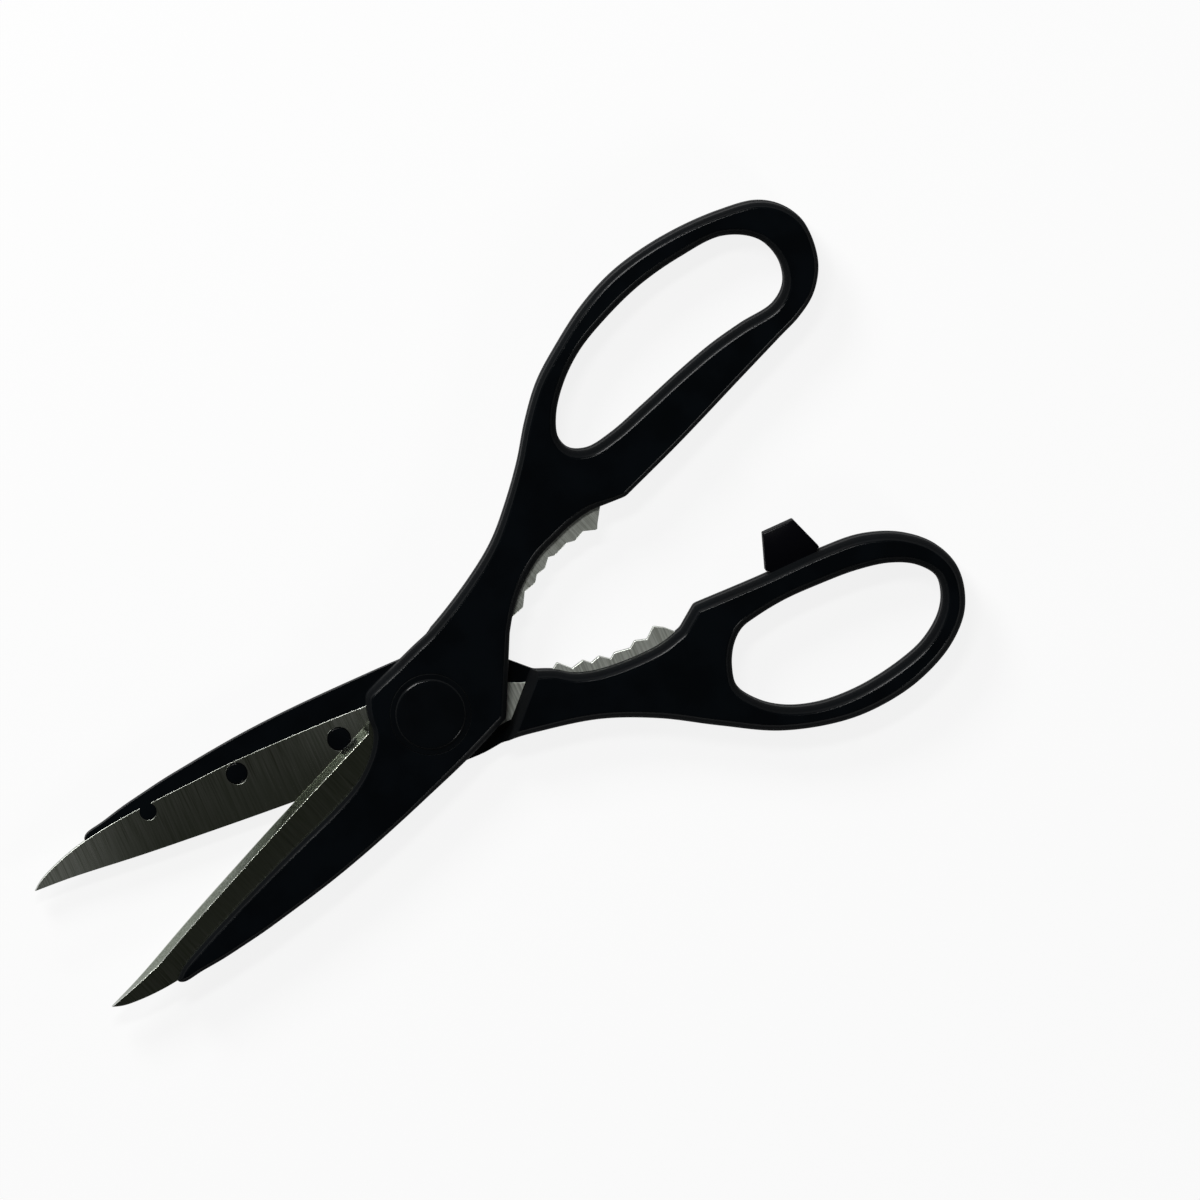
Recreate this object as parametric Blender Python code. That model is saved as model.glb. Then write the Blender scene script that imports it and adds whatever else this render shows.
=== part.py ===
"""Kitchen scissors: two steel blades with toothed jaws, moulded handles, a pivot screw and a stop block.

The scissors lie flat, half open. The pivot's axis is the Z axis, and the back face is at zero height.
X runs from the tip of the finger half's blade, over the pivot, towards the handles.
"""

import math
from types import SimpleNamespace

import bmesh
import bpy

# Layers across the pivot. Each half is a plastic plate, a clearance and a blade, and the blades face each other.
PLATE = 0.0030
STEEL = 0.0023
FIT = 0.0003

# How far the halves stand open, and how far the tips cross when the stop block closes the handles
OPEN_ANGLE = math.radians(18.4)
TIP_CROSSING = math.radians(0.6)

# Blade side of each half, with its offsets from the line through tip and pivot
BLADE_REACH = 0.0910
SPINE_OFFSET = 0.0126
EDGE_OFFSET = 0.0071
BEVEL = 0.0014
TIP_TAPER = 0.0140

# Plastic hub, blade hub, and the straight shoulder and step where one half swings past the other
HUB_EDGE = 0.0125
STEEL_HUB = 0.0090
SHOULDER = 0.0161
STEP_GAP = 0.0006
STEP_DRAFT = 0.0017

# Handles, from the pivot to the far end and from the centre line to the outer rail
FINGER_REACH = 0.1136
FINGER_DEPTH = 0.0379
THUMB_REACH = 0.1278
THUMB_DEPTH = 0.0418
BOW_ROUND = 0.0013
BLADE_PLATE_ROUND = 0.0009

# Pegs of the handle's plate that hold the blade, and the open notch near the tip
PEG_RADIUS = 0.0022
NOTCH_RADIUS = 0.0018
NOTCH_DEPTH = 0.0014

# Tallest tooth of each half's jaw
FINGER_TOOTH_HEIGHT = 0.0014
THUMB_TOOTH_HEIGHT = 0.0010

# Pivot: screw, nut, washers and the two caps that cover them
SCREW_RADIUS = 0.0030
SCREW_HEAD_RADIUS = 0.0062
SCREW_HEAD = 0.0010
SLOT_WIDTH = 0.0014
SLOT_DEPTH = 0.0005
NUT_ACROSS = 0.0110
NUT = 0.0009
WASHER_RADIUS = 0.0066
WASHER = 0.0004
SPRING_WASHER = 0.0003
CAP_RADIUS = 0.0085
CAP_ROOF = 0.0010
CAP_WALL = 0.0012
CAP_SHOULDER = 0.0010
CAP_PROUD = 0.0005

# Stop block in the finger handle's inner rail
STOP_FOOT = 0.0124
STOP_TOP = 0.0070
STOP_WIDTH = 0.0060
STOP_SEAT = 0.0030
STOP_GAP = 0.0003

# Facets along an outline and round a turned piece, and the overrun of every cut
FACET = 0.0026
TURNED_SIDES = 48
PEG_SIDES = 24
ROUND_STEPS = 3
OVERRUN = 0.0010
SHARP_ANGLE = math.radians(30)

# Levels and clearances that follow from the layers
INNER_FACE = PLATE + FIT + STEEL
THICKNESS = 2 * INNER_FACE + FIT
STEEL_BACK = PLATE + FIT
STEP = SHOULDER + STEP_GAP
BORE_RADIUS = SCREW_RADIUS + FIT
SHOULDER_START = SHOULDER * math.sqrt(2)

# Blade outlines, as shares of the blade's reach and of its spine or edge offset
STEEL_SPINE_SHARES = (
    (0.125, 0.532), (0.229, 0.571), (0.357, 0.595), (0.482, 0.603), (0.549, 0.583), (0.670, 0.548),
    (0.747, 0.516), (0.799, 0.476), (0.848, 0.421), (0.891, 0.349), (0.936, 0.246), (0.977, 0.119), (1.0, 0.0))
EDGE_SHARES = ((1.0, 0.0), (0.909, 0.085), (0.740, 0.338), (0.571, 0.549), (0.380, 0.761), (0.122, 1.0))
PLATE_SPINE_SHARES = (
    (0.0, 0.992), (0.143, 1.0), (0.263, 0.996), (0.343, 0.980), (0.415, 0.952), (0.490, 0.905), (0.562, 0.849),
    (0.622, 0.798), (0.678, 0.734), (0.735, 0.663), (0.791, 0.571), (0.838, 0.500), (0.849, 0.413))
PLATE_FREE_SHARES = (
    (0.849, 0.413), (0.819, 0.317), (0.747, 0.246), (0.615, 0.175), (0.462, 0.119), (0.308, 0.087),
    (0.242, 0.040), (0.197, -0.056), (0.149, -0.246), (0.124, -0.429), (0.112, -0.635), (0.091, -0.860))

# Holes of the blade, as shares of its reach and of its spine offset, and the notch's place along the reach
PEG_SHARES = ((0.215, 0.214), (0.463, 0.397))
NOTCH_SHARE = 0.686

# Hub outlines, as shares of the shoulder's offset along X and of the hub's or blade hub's width
SHOULDER_CORNER_SHARE = 0.93
HUB_EDGE_SHARES = ((-0.44, 0.955), (-0.25, 0.985), (0.06, 0.995), (0.44, 1.01))
STEEL_HUB_EDGE_SHARES = ((-0.40, 0.94), (0.0, 1.02), (0.50, 1.02), (0.95, 0.96))
STEEL_HUB_TOP_SHARES = ((1.32, -0.30), (1.08, -0.11), (0.55, 0.44), (0.0, 0.70))

# Handle outlines, as shares of the length from the shoulder's foot to the far end and of the handle's depth.
# Each bow starts beside the hub, runs out along the outer rail and comes back along the inner rail.
SHOULDER_END_SHARE = 0.025
FINGER_BOW_SHARES = (
    (-0.107, 0.322), (-0.036, 0.346), (0.103, 0.423), (0.228, 0.556), (0.346, 0.729), (0.471, 0.898),
    (0.605, 0.991), (0.703, 1.005), (0.812, 0.964), (0.915, 0.853), (0.979, 0.698), (1.002, 0.489),
    (0.977, 0.317), (0.914, 0.177), (0.828, 0.095), (0.729, 0.074), (0.575, 0.074), (0.410, 0.063))
FINGER_JAW_SHARES = (
    (0.358, 0.153), (0.301, 0.187), (0.244, 0.193), (0.189, 0.187), (0.137, 0.169), (0.091, 0.132),
    (0.053, 0.071))
FINGER_EYE_SHARES = (
    (0.423, 0.575), (0.456, 0.699), (0.509, 0.792), (0.586, 0.852), (0.685, 0.865), (0.795, 0.826),
    (0.861, 0.773), (0.916, 0.678), (0.942, 0.580), (0.948, 0.475), (0.916, 0.369), (0.861, 0.298),
    (0.784, 0.259), (0.696, 0.245), (0.605, 0.243), (0.530, 0.264), (0.489, 0.288), (0.457, 0.351),
    (0.431, 0.462))
FINGER_TOOTH_SHARES = (
    (0.326, 0.116), (0.281, 0.132), (0.235, 0.148), (0.185, 0.152), (0.136, 0.135), (0.091, 0.108),
    (0.049, 0.074))
FINGER_TANG_SHARES = (
    (0.025, 0.251), (0.146, 0.303), (0.256, 0.369), (0.333, 0.401), (0.377, 0.343), (0.380, 0.251),
    (0.352, 0.180))

THUMB_BOW_SHARES = (
    (-0.100, 0.304), (0.016, 0.352), (0.105, 0.416), (0.182, 0.514), (0.253, 0.624), (0.318, 0.744),
    (0.390, 0.852), (0.475, 0.926), (0.556, 0.978), (0.640, 1.0), (0.722, 0.983), (0.811, 0.933),
    (0.893, 0.859), (0.957, 0.775), (0.987, 0.684), (1.0, 0.574), (0.994, 0.474), (0.964, 0.333),
    (0.917, 0.242), (0.866, 0.206), (0.808, 0.196), (0.692, 0.177), (0.518, 0.148), (0.366, 0.134))
THUMB_JAW_SHARES = (
    (0.315, 0.182), (0.293, 0.201), (0.249, 0.215), (0.205, 0.213), (0.161, 0.206), (0.111, 0.172),
    (0.071, 0.129), (0.038, 0.079))
THUMB_EYE_SHARES = (
    (0.347, 0.580), (0.376, 0.675), (0.430, 0.766), (0.496, 0.830), (0.583, 0.861), (0.674, 0.866),
    (0.770, 0.833), (0.861, 0.766), (0.909, 0.632), (0.912, 0.490), (0.886, 0.378), (0.844, 0.337),
    (0.769, 0.371), (0.696, 0.395), (0.611, 0.404), (0.512, 0.405), (0.430, 0.410), (0.375, 0.437),
    (0.348, 0.500))
THUMB_TOOTH_SHARES = (
    (0.287, 0.126), (0.256, 0.146), (0.218, 0.163), (0.165, 0.170), (0.123, 0.148), (0.085, 0.120),
    (0.039, 0.072))
THUMB_TANG_SHARES = (
    (0.021, 0.235), (0.126, 0.292), (0.221, 0.371), (0.288, 0.407), (0.326, 0.347), (0.331, 0.263),
    (0.314, 0.180))

# The teeth's corners from the jaw's outer end, as shares of its length and of the tallest tooth, and how far
# the finger's row lies nearer the pivot, and the thumb's nearer the outer end
TOOTH_SHARES = (
    (0.043, 0.97), (0.055, 1.0), (0.149, -0.05), (0.238, 0.74), (0.250, 0.71), (0.305, 0.16),
    (0.432, 0.64), (0.444, 0.62), (0.488, 0.0), (0.570, 0.92), (0.582, 0.90), (0.652, 0.25),
    (0.711, 0.88), (0.723, 0.86), (0.815, -0.05), (0.927, 1.02), (0.939, 1.0))
TOOTH_SHIFT_SHARE = 0.022

# The stop block's middle along the finger handle, and its root's length as a share of its foot
STOP_PLACE_SHARE = 0.661
STOP_ROOT_SHARE = 0.86

# The least spread of two sides at a corner, which keeps a sharp corner's point near it
LEAST_SPREAD_SHARE = 0.35

FINGER = SimpleNamespace(
    name="finger", reach=FINGER_REACH, depth=FINGER_DEPTH, bow=FINGER_BOW_SHARES, jaw=FINGER_JAW_SHARES,
    eye=FINGER_EYE_SHARES, teeth=FINGER_TOOTH_SHARES, tang=FINGER_TANG_SHARES,
    tooth_height=FINGER_TOOTH_HEIGHT, tooth_shift=TOOTH_SHIFT_SHARE)
THUMB = SimpleNamespace(
    name="thumb", reach=THUMB_REACH, depth=THUMB_DEPTH, bow=THUMB_BOW_SHARES, jaw=THUMB_JAW_SHARES,
    eye=THUMB_EYE_SHARES, teeth=THUMB_TOOTH_SHARES, tang=THUMB_TANG_SHARES,
    tooth_height=THUMB_TOOTH_HEIGHT, tooth_shift=-TOOTH_SHIFT_SHARE)


# Materials

def make_material(name, colour, roughness, metallic):
    material = bpy.data.materials.new(name)
    material.use_nodes = True
    shader = material.node_tree.nodes["Principled BSDF"]
    shader.inputs["Base Color"].default_value = (*colour, 1.0)
    shader.inputs["Roughness"].default_value = roughness
    shader.inputs["Metallic"].default_value = metallic
    return material


# Curves in the plane

def smooth(points, closed=False):
    """Return points every facet or so on a smooth curve through the given points."""
    points = list(points)
    if closed:
        points = [points[-1], *points, points[0], points[1]]
    else:
        first = mirrored(points[1], points[0])
        last = mirrored(points[-2], points[-1])
        points = [first, *points, last]
    curve = []
    for before, start, end, after in zip(points, points[1:], points[2:], points[3:]):
        steps = max(1, round(math.dist(start, end) / FACET))
        for step in range(steps):
            curve.append(on_span(before, start, end, after, step / steps))
    if not closed:
        curve.append(points[-2])
    return curve


def mirrored(point, centre):
    return (2 * centre[0] - point[0], 2 * centre[1] - point[1])


def on_span(before, start, end, after, share):
    """Return the point at a share of one span of a centripetal Catmull-Rom curve."""
    knots = [0.0]
    for first, second in ((before, start), (start, end), (end, after)):
        knots.append(knots[-1] + math.sqrt(math.dist(first, second)))
    place = knots[1] + share * (knots[2] - knots[1])

    def between(first, second, low, high):
        weight = (place - low) / (high - low)
        return tuple(a + weight * (b - a) for a, b in zip(first, second))

    near_start = between(before, start, knots[0], knots[1])
    middle = between(start, end, knots[1], knots[2])
    near_end = between(end, after, knots[2], knots[3])
    early = between(near_start, middle, knots[0], knots[2])
    late = between(middle, near_end, knots[1], knots[3])
    return between(early, late, knots[1], knots[2])


def circle(radius, sides, centre=(0.0, 0.0)):
    turns = (2 * math.pi * side / sides for side in range(sides))
    return [(centre[0] + radius * math.cos(turn), centre[1] + radius * math.sin(turn)) for turn in turns]


def inset(outline, widths):
    """Move each point of a counter-clockwise outline inwards by its width, and keep its sides parallel."""
    moved = []
    for index, point in enumerate(outline):
        before = outline[index - 1]
        after = outline[(index + 1) % len(outline)]
        first = inward_normal(before, point)
        second = inward_normal(point, after)
        spread = max(1 + first[0] * second[0] + first[1] * second[1], LEAST_SPREAD_SHARE)
        moved.append(tuple(
            place + widths[index] * (a + b) / spread for place, a, b in zip(point, first, second)))
    return moved


def inward_normal(start, end):
    length = math.dist(start, end)
    return ((start[1] - end[1]) / length, (end[0] - start[0]) / length)


def height_at(curve, x):
    """Return the height of a curve at a place along X."""
    for start, end in zip(curve, curve[1:]):
        if min(start[0], end[0]) <= x <= max(start[0], end[0]) and start[0] != end[0]:
            return start[1] + (end[1] - start[1]) * (x - start[0]) / (end[0] - start[0])
    raise ValueError("The curve doesn't reach that place")


# Outlines of one half, counter-clockwise, with its spine and jaw upwards and its outer face at zero height

def blade_points(shares, offset):
    return [(-along * BLADE_REACH, across * offset) for along, across in shares]


def hub_points(shares, width):
    return [(along * SHOULDER, across * width) for along, across in shares]


def handle_points(half, shares):
    length = half.reach - SHOULDER_START
    return [(SHOULDER_START + along * length, -across * half.depth) for along, across in shares]


def on_shoulder(y):
    return (SHOULDER_START - y, y)


def inner_rail(half):
    """Return the inner rail's edge, from the bow's far end to the jaw's corner."""
    return smooth(handle_points(half, half.bow))


def handle_outline(half):
    hub = [(x, -y) for x, y in hub_points(HUB_EDGE_SHARES, HUB_EDGE)]
    free_edge = blade_points(PLATE_FREE_SHARES, SPINE_OFFSET)
    outer = smooth([*free_edge, *hub, *handle_points(half, half.bow)])
    jaw = smooth([*handle_points(half, half.jaw), on_shoulder(-SHOULDER_END_SHARE * half.depth)])
    corner = on_shoulder(SHOULDER_CORNER_SHARE * SPINE_OFFSET)
    spine = smooth([corner, *blade_points(PLATE_SPINE_SHARES, SPINE_OFFSET)])
    return [*outer, *jaw, *spine[:-1]]


def eye_outline(half):
    return smooth(handle_points(half, half.eye), closed=True)


def toothed_edge(half):
    """Return the jaw's teeth along a smooth base line, from the outer end to the pivot's side."""
    base = smooth(handle_points(half, half.teeth))
    lengths = [0.0]
    for start, end in zip(base, base[1:]):
        lengths.append(lengths[-1] + math.dist(start, end))
    edge = [base[0]]
    for along, up in TOOTH_SHARES:
        place = lengths[-1] * (along + half.tooth_shift)
        index = next(i for i, length in enumerate(lengths) if length >= place)
        start, end = base[index - 1], base[index]
        share = (place - lengths[index - 1]) / (lengths[index] - lengths[index - 1])
        outward = inward_normal(end, start)
        edge.append(tuple(
            a + share * (b - a) + up * half.tooth_height * normal
            for a, b, normal in zip(start, end, outward)))
    return [*edge, base[-1]]


def notched(spine):
    """Return the blade's spine with its open notch, from the hub towards the tip."""
    x = -NOTCH_SHARE * BLADE_REACH
    y = height_at(spine, x) - NOTCH_DEPTH
    mouth = math.asin(NOTCH_DEPTH / NOTCH_RADIUS)
    half_width = NOTCH_RADIUS * math.cos(mouth)
    sweep = math.pi + 2 * mouth
    steps = PEG_SIDES // 2
    turns = (mouth - sweep * step / steps for step in range(steps + 1))
    notch = [(x + NOTCH_RADIUS * math.cos(turn), y + NOTCH_RADIUS * math.sin(turn)) for turn in turns]
    near_hub = [point for point in spine if point[0] > x + half_width + FIT]
    near_tip = [point for point in spine if point[0] < x - half_width - FIT]
    return [*near_hub, *notch, *near_tip]


def blade_outline(half):
    edge = smooth(blade_points(EDGE_SHARES, -EDGE_OFFSET))
    hub = [(x, -y) for x, y in hub_points(STEEL_HUB_EDGE_SHARES, STEEL_HUB)]
    tang = smooth([edge[-1], *hub, *handle_points(half, half.tang)])
    teeth = toothed_edge(half)
    spine = smooth(blade_points(STEEL_SPINE_SHARES, SPINE_OFFSET))
    top = smooth([teeth[-1], *hub_points(STEEL_HUB_TOP_SHARES, STEEL_HUB), spine[0]])
    return [*edge[:-1], *tang, *teeth, *top[1:-1], *notched(spine)[:-1]]


# Solids

def make_object(name, mesh, material=None, parent=None):
    item = bpy.data.objects.new(name, mesh)
    bpy.context.scene.collection.objects.link(item)
    item.parent = parent
    if material:
        mesh.materials.append(material)
    return item


def make_solid(name, rings, material=None, parent=None):
    """Close a stack of rings, each a list of points, into one solid."""
    count = len(rings[0])
    work = bmesh.new()
    vertices = [[work.verts.new(point) for point in ring] for ring in rings]
    for lower, upper in zip(vertices, vertices[1:]):
        for side in range(count):
            ahead = (side + 1) % count
            work.faces.new((lower[side], lower[ahead], upper[ahead], upper[side]))
    work.faces.new(reversed(vertices[0]))
    work.faces.new(vertices[-1])
    bmesh.ops.recalc_face_normals(work, faces=work.faces)
    mesh = bpy.data.meshes.new(name)
    work.to_mesh(mesh)
    work.free()
    return make_object(name, mesh, material, parent)


def at_height(outline, z):
    return [(x, y, z) for x, y in outline]


def plate(name, outline, bottom, top, material=None, parent=None):
    return make_solid(name, [at_height(outline, bottom), at_height(outline, top)], material, parent)


def rounded_rings(outline, widths, bottom, top):
    """Return rings of a plate whose two rims are rounded, or flared where the widths are negative."""
    rings = []
    turns = [math.pi / 2 * step / ROUND_STEPS for step in range(ROUND_STEPS + 1)]
    for turn in turns:
        moved = inset(outline, [width * (1 - math.sin(turn)) for width in widths])
        rise = 1 - math.cos(turn)
        rings.append([(x, y, bottom + abs(width) * rise) for (x, y), width in zip(moved, widths)])
    mirrored_rings = [[(x, y, bottom + top - z) for x, y, z in ring] for ring in reversed(rings)]
    return [*rings, *mirrored_rings]


def turned(name, profile, sides, material=None, parent=None):
    """Turn a profile of radius and height, which starts and ends on the axis or closes on itself."""
    work = bmesh.new()
    rings = []
    for radius, z in profile:
        if radius == 0:
            rings.append([work.verts.new((0.0, 0.0, z))])
        else:
            rings.append([work.verts.new((x, y, z)) for x, y in circle(radius, sides)])
    if profile[0][0] == 0:
        pairs = zip(rings, rings[1:])
    else:
        pairs = zip(rings, [*rings[1:], rings[0]])
    for lower, upper in pairs:
        for side in range(sides):
            corners = [lower[side % len(lower)], lower[(side + 1) % len(lower)]]
            corners += [upper[(side + 1) % len(upper)], upper[side % len(upper)]]
            work.faces.new(dict.fromkeys(corners))
    bmesh.ops.recalc_face_normals(work, faces=work.faces)
    mesh = bpy.data.meshes.new(name)
    work.to_mesh(mesh)
    work.free()
    mesh.shade_smooth()
    mesh.set_sharp_from_angle(angle=SHARP_ANGLE)
    return make_object(name, mesh, material, parent)


def cut(item, cutter, operation="DIFFERENCE"):
    """Combine an item with a guide solid, which stays hidden beside it."""
    cutter.hide_render = True
    cutter.display_type = "WIRE"
    modifier = item.modifiers.new(cutter.name, "BOOLEAN")
    modifier.operation = operation
    modifier.solver = "EXACT"
    modifier.object = cutter


# The halves

def ramp(value, low, high):
    return min(max((value - low) / (high - low), 0.0), 1.0)


def rim_widths(outline):
    """Return the rim's rounding at each point: small on the blade's plate and full on the bow."""
    shares = [ramp(x, -SHOULDER, SHOULDER_START) for x, _ in outline]
    return [BLADE_PLATE_ROUND + share * (BOW_ROUND - BLADE_PLATE_ROUND) for share in shares]


def make_blade(half, frame, material):
    """Make one blade: a flat blank, bevelled on its outer face along the cutting edge."""
    outline = blade_outline(half)
    edge = smooth(blade_points(EDGE_SHARES, -EDGE_OFFSET))
    heel = edge[-1][0]
    widths = []
    for index, (x, _) in enumerate(outline):
        from_tip = ramp(x, -BLADE_REACH, -BLADE_REACH + TIP_TAPER)
        from_heel = ramp(x, heel, heel - BEVEL)
        widths.append(BEVEL * from_tip * from_heel if index < len(edge) else 0.0)
    rings = [at_height(inset(outline, widths), STEEL_BACK), at_height(outline, INNER_FACE)]
    blade = make_solid(f"{half.name}_blade", rings, material, frame)
    low, high = STEEL_BACK - OVERRUN, INNER_FACE + OVERRUN
    bore = plate(f"{half.name}_bore_cut", circle(BORE_RADIUS, TURNED_SIDES), low, high, parent=frame)
    cut(blade, bore)
    for number, centre in enumerate(blade_points(PEG_SHARES, SPINE_OFFSET), 1):
        hole = circle(PEG_RADIUS + FIT, PEG_SIDES, centre)
        cut(blade, plate(f"{half.name}_peg_hole_cut_{number}", hole, low, high, parent=frame))
    return blade


def make_handle(half, frame, material):
    """Make one moulding: bow, jaw, hub plate and the plate over the blade, round the blade's pocket."""
    outline = handle_outline(half)
    rings = rounded_rings(outline, rim_widths(outline), 0.0, THICKNESS)
    handle = make_solid(f"{half.name}_handle", rings, material, frame)

    eye = eye_outline(half)
    rings = rounded_rings(eye, [-BOW_ROUND] * len(eye), 0.0, THICKNESS)
    below = [(x, y, -OVERRUN) for x, y, _ in rings[0]]
    above = [(x, y, THICKNESS + OVERRUN) for x, y, _ in rings[-1]]
    cut(handle, make_solid(f"{half.name}_eye_cut", [below, *rings, above], parent=frame))

    cut(handle, other_half_room(half, frame))

    blank = blade_outline(half)
    pocket = inset(blank, [-FIT] * len(blank))
    cut(handle, plate(f"{half.name}_pocket_cut", pocket, PLATE, INNER_FACE + FIT, parent=frame))
    for number, centre in enumerate(blade_points(PEG_SHARES, SPINE_OFFSET), 1):
        section = circle(PEG_RADIUS, PEG_SIDES, centre)
        peg = plate(f"{half.name}_peg_{number}", section, PLATE / 2, INNER_FACE - FIT, parent=frame)
        cut(handle, peg, "UNION")

    window = circle(CAP_RADIUS + FIT, TURNED_SIDES)
    cut(handle, plate(f"{half.name}_window_cut", window, -OVERRUN, STEEL_BACK, parent=frame))
    return handle


def other_half_room(half, frame):
    """Make the room over the inner face where the other half swings, up to the sloping step."""
    far = 2 * BLADE_REACH
    slope = STEP_DRAFT / INNER_FACE
    rings = []
    for level in (INNER_FACE, THICKNESS + OVERRUN):
        distance = STEP + slope * (level - INNER_FACE)
        foot = (distance / math.sqrt(2), -distance / math.sqrt(2))
        along = far / math.sqrt(2)
        near_corner = (foot[0] - along, foot[1] - along)
        far_corner = (foot[0] + along, foot[1] + along)
        outline = [near_corner, far_corner, (-far, far_corner[1]), (-far, near_corner[1])]
        rings.append(at_height(outline, level))
    return make_solid(f"{half.name}_room_cut", rings, parent=frame)


def make_cap(name, proud, frame, material):
    """Make a pivot cap: a round cup whose skirt stands over the blade."""
    face = -proud
    inner = CAP_RADIUS - CAP_WALL
    profile = [(0.0, face), (CAP_RADIUS - CAP_SHOULDER, face)]
    for step in range(1, ROUND_STEPS + 1):
        turn = math.pi / 2 * step / ROUND_STEPS
        radius = CAP_RADIUS - CAP_SHOULDER * (1 - math.sin(turn))
        profile.append((radius, face + CAP_SHOULDER * (1 - math.cos(turn))))
    profile += [(CAP_RADIUS, PLATE), (inner, PLATE), (inner, CAP_ROOF), (0.0, CAP_ROOF)]
    return turned(name, profile, TURNED_SIDES, material, frame)


def make_stop_block(frame, material):
    """Make the stop block and its seat in the finger handle's inner rail."""
    length = FINGER_REACH - SHOULDER_START
    x = SHOULDER_START + STOP_PLACE_SHARE * length
    rail_top = height_at(inner_rail(FINGER)[::-1], x)
    other_rail = -height_at(inner_rail(THUMB)[::-1], x)
    top = other_rail - x * math.sin(TIP_CROSSING) - STOP_GAP
    seat = rail_top - STOP_SEAT
    foot_half = STOP_FOOT / 2
    root_half = STOP_ROOT_SHARE * foot_half
    top_half = STOP_TOP / 2
    outline = [
        (x - root_half, seat), (x + root_half, seat), (x + root_half, rail_top + FIT),
        (x + foot_half, rail_top + 2 * FIT), (x + top_half, top), (x - top_half, top),
        (x - foot_half, rail_top + 2 * FIT), (x - root_half, rail_top + FIT)]
    low = (THICKNESS - STOP_WIDTH) / 2
    high = (THICKNESS + STOP_WIDTH) / 2
    block = plate("stop_block", outline, low, high, material, frame)
    wide = root_half + FIT
    pocket = [(x - wide, seat - FIT), (x + wide, seat - FIT), (x + wide, top), (x - wide, top)]
    socket = plate("stop_socket_cut", pocket, low - FIT, high + FIT, parent=frame)
    return block, socket


# The pivot

def make_screw(material):
    """Make the pivot screw, its slotted head under the front cap."""
    head_top = THICKNESS - CAP_ROOF - FIT
    head_foot = head_top - SCREW_HEAD
    end = CAP_ROOF + FIT
    profile = [
        (0.0, head_top), (SCREW_HEAD_RADIUS, head_top), (SCREW_HEAD_RADIUS, head_foot),
        (SCREW_RADIUS, head_foot), (SCREW_RADIUS, end), (0.0, end)]
    screw = turned("pivot_screw", profile, TURNED_SIDES, material)
    half_length = SCREW_HEAD_RADIUS + OVERRUN
    half_width = SLOT_WIDTH / 2
    outline = [
        (-half_length, -half_width), (half_length, -half_width), (half_length, half_width),
        (-half_length, half_width)]
    cut(screw, plate("screw_slot_cut", outline, head_top - SLOT_DEPTH, head_top + OVERRUN))
    return screw


def make_ring(name, outer, bottom, top, material, dish=0.0):
    """Make a washer round the screw, whose inner rim stands off by its dish."""
    profile = [
        (BORE_RADIUS, bottom + dish), (outer, bottom), (outer, top), (BORE_RADIUS, top + dish)]
    return turned(name, profile, TURNED_SIDES, material)


def make_nut(material):
    """Make the six-sided nut under the back cap."""
    low = CAP_ROOF + FIT
    corner_radius = NUT_ACROSS / math.sqrt(3)
    nut = plate("pivot_nut", circle(corner_radius, 6), low, low + NUT, material)
    bore = plate("nut_bore_cut", circle(BORE_RADIUS, TURNED_SIDES), low - OVERRUN, low + NUT + OVERRUN)
    cut(nut, bore)
    return nut


def make_frame(name):
    frame = bpy.data.objects.new(name, None)
    bpy.context.scene.collection.objects.link(frame)
    return frame


def main():
    for item in list(bpy.data.objects):
        bpy.data.objects.remove(item)

    plastic = make_material("black_moulded_plastic", (0.012, 0.013, 0.016), 0.42, 0.0)
    cap_plastic = make_material("black_cap_plastic", (0.010, 0.010, 0.012), 0.34, 0.0)
    rubber = make_material("black_stop_rubber", (0.016, 0.016, 0.018), 0.62, 0.0)
    blade_steel = make_material("ground_blade_steel", (0.50, 0.51, 0.46), 0.32, 1.0)
    screw_steel = make_material("plated_screw_steel", (0.60, 0.60, 0.58), 0.28, 1.0)

    finger_frame = make_frame("finger_half")
    thumb_frame = make_frame("thumb_half")
    thumb_frame.location.z = THICKNESS
    thumb_frame.rotation_euler = (math.pi, 0.0, OPEN_ANGLE)

    for half, frame in ((FINGER, finger_frame), (THUMB, thumb_frame)):
        make_blade(half, frame, blade_steel)
    finger_handle = make_handle(FINGER, finger_frame, plastic)
    make_handle(THUMB, thumb_frame, plastic)
    _, socket = make_stop_block(finger_frame, rubber)
    cut(finger_handle, socket)

    make_screw(screw_steel)
    washer_top = THICKNESS - STEEL_BACK + FIT + WASHER
    make_ring("pivot_washer", WASHER_RADIUS, washer_top - WASHER, washer_top, screw_steel)
    spring_low = CAP_ROOF + FIT + NUT + FIT
    spring_dish = PLATE - spring_low - SPRING_WASHER
    make_ring("spring_washer", WASHER_RADIUS, spring_low, spring_low + SPRING_WASHER, screw_steel, spring_dish)
    make_nut(screw_steel)
    make_cap("front_pivot_cap", CAP_PROUD, thumb_frame, cap_plastic)
    make_cap("back_pivot_cap", 0.0, finger_frame, cap_plastic)


main()
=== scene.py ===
"""Looks of the kitchen scissors: ground blades, moulded handles, pivot caps and the stop block.

Every surface is worked out in its half's own frame, with the spine and the jaw upwards, the outer face at
zero height and the tip towards -X, and is then laid where that half lies.
"""

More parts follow.
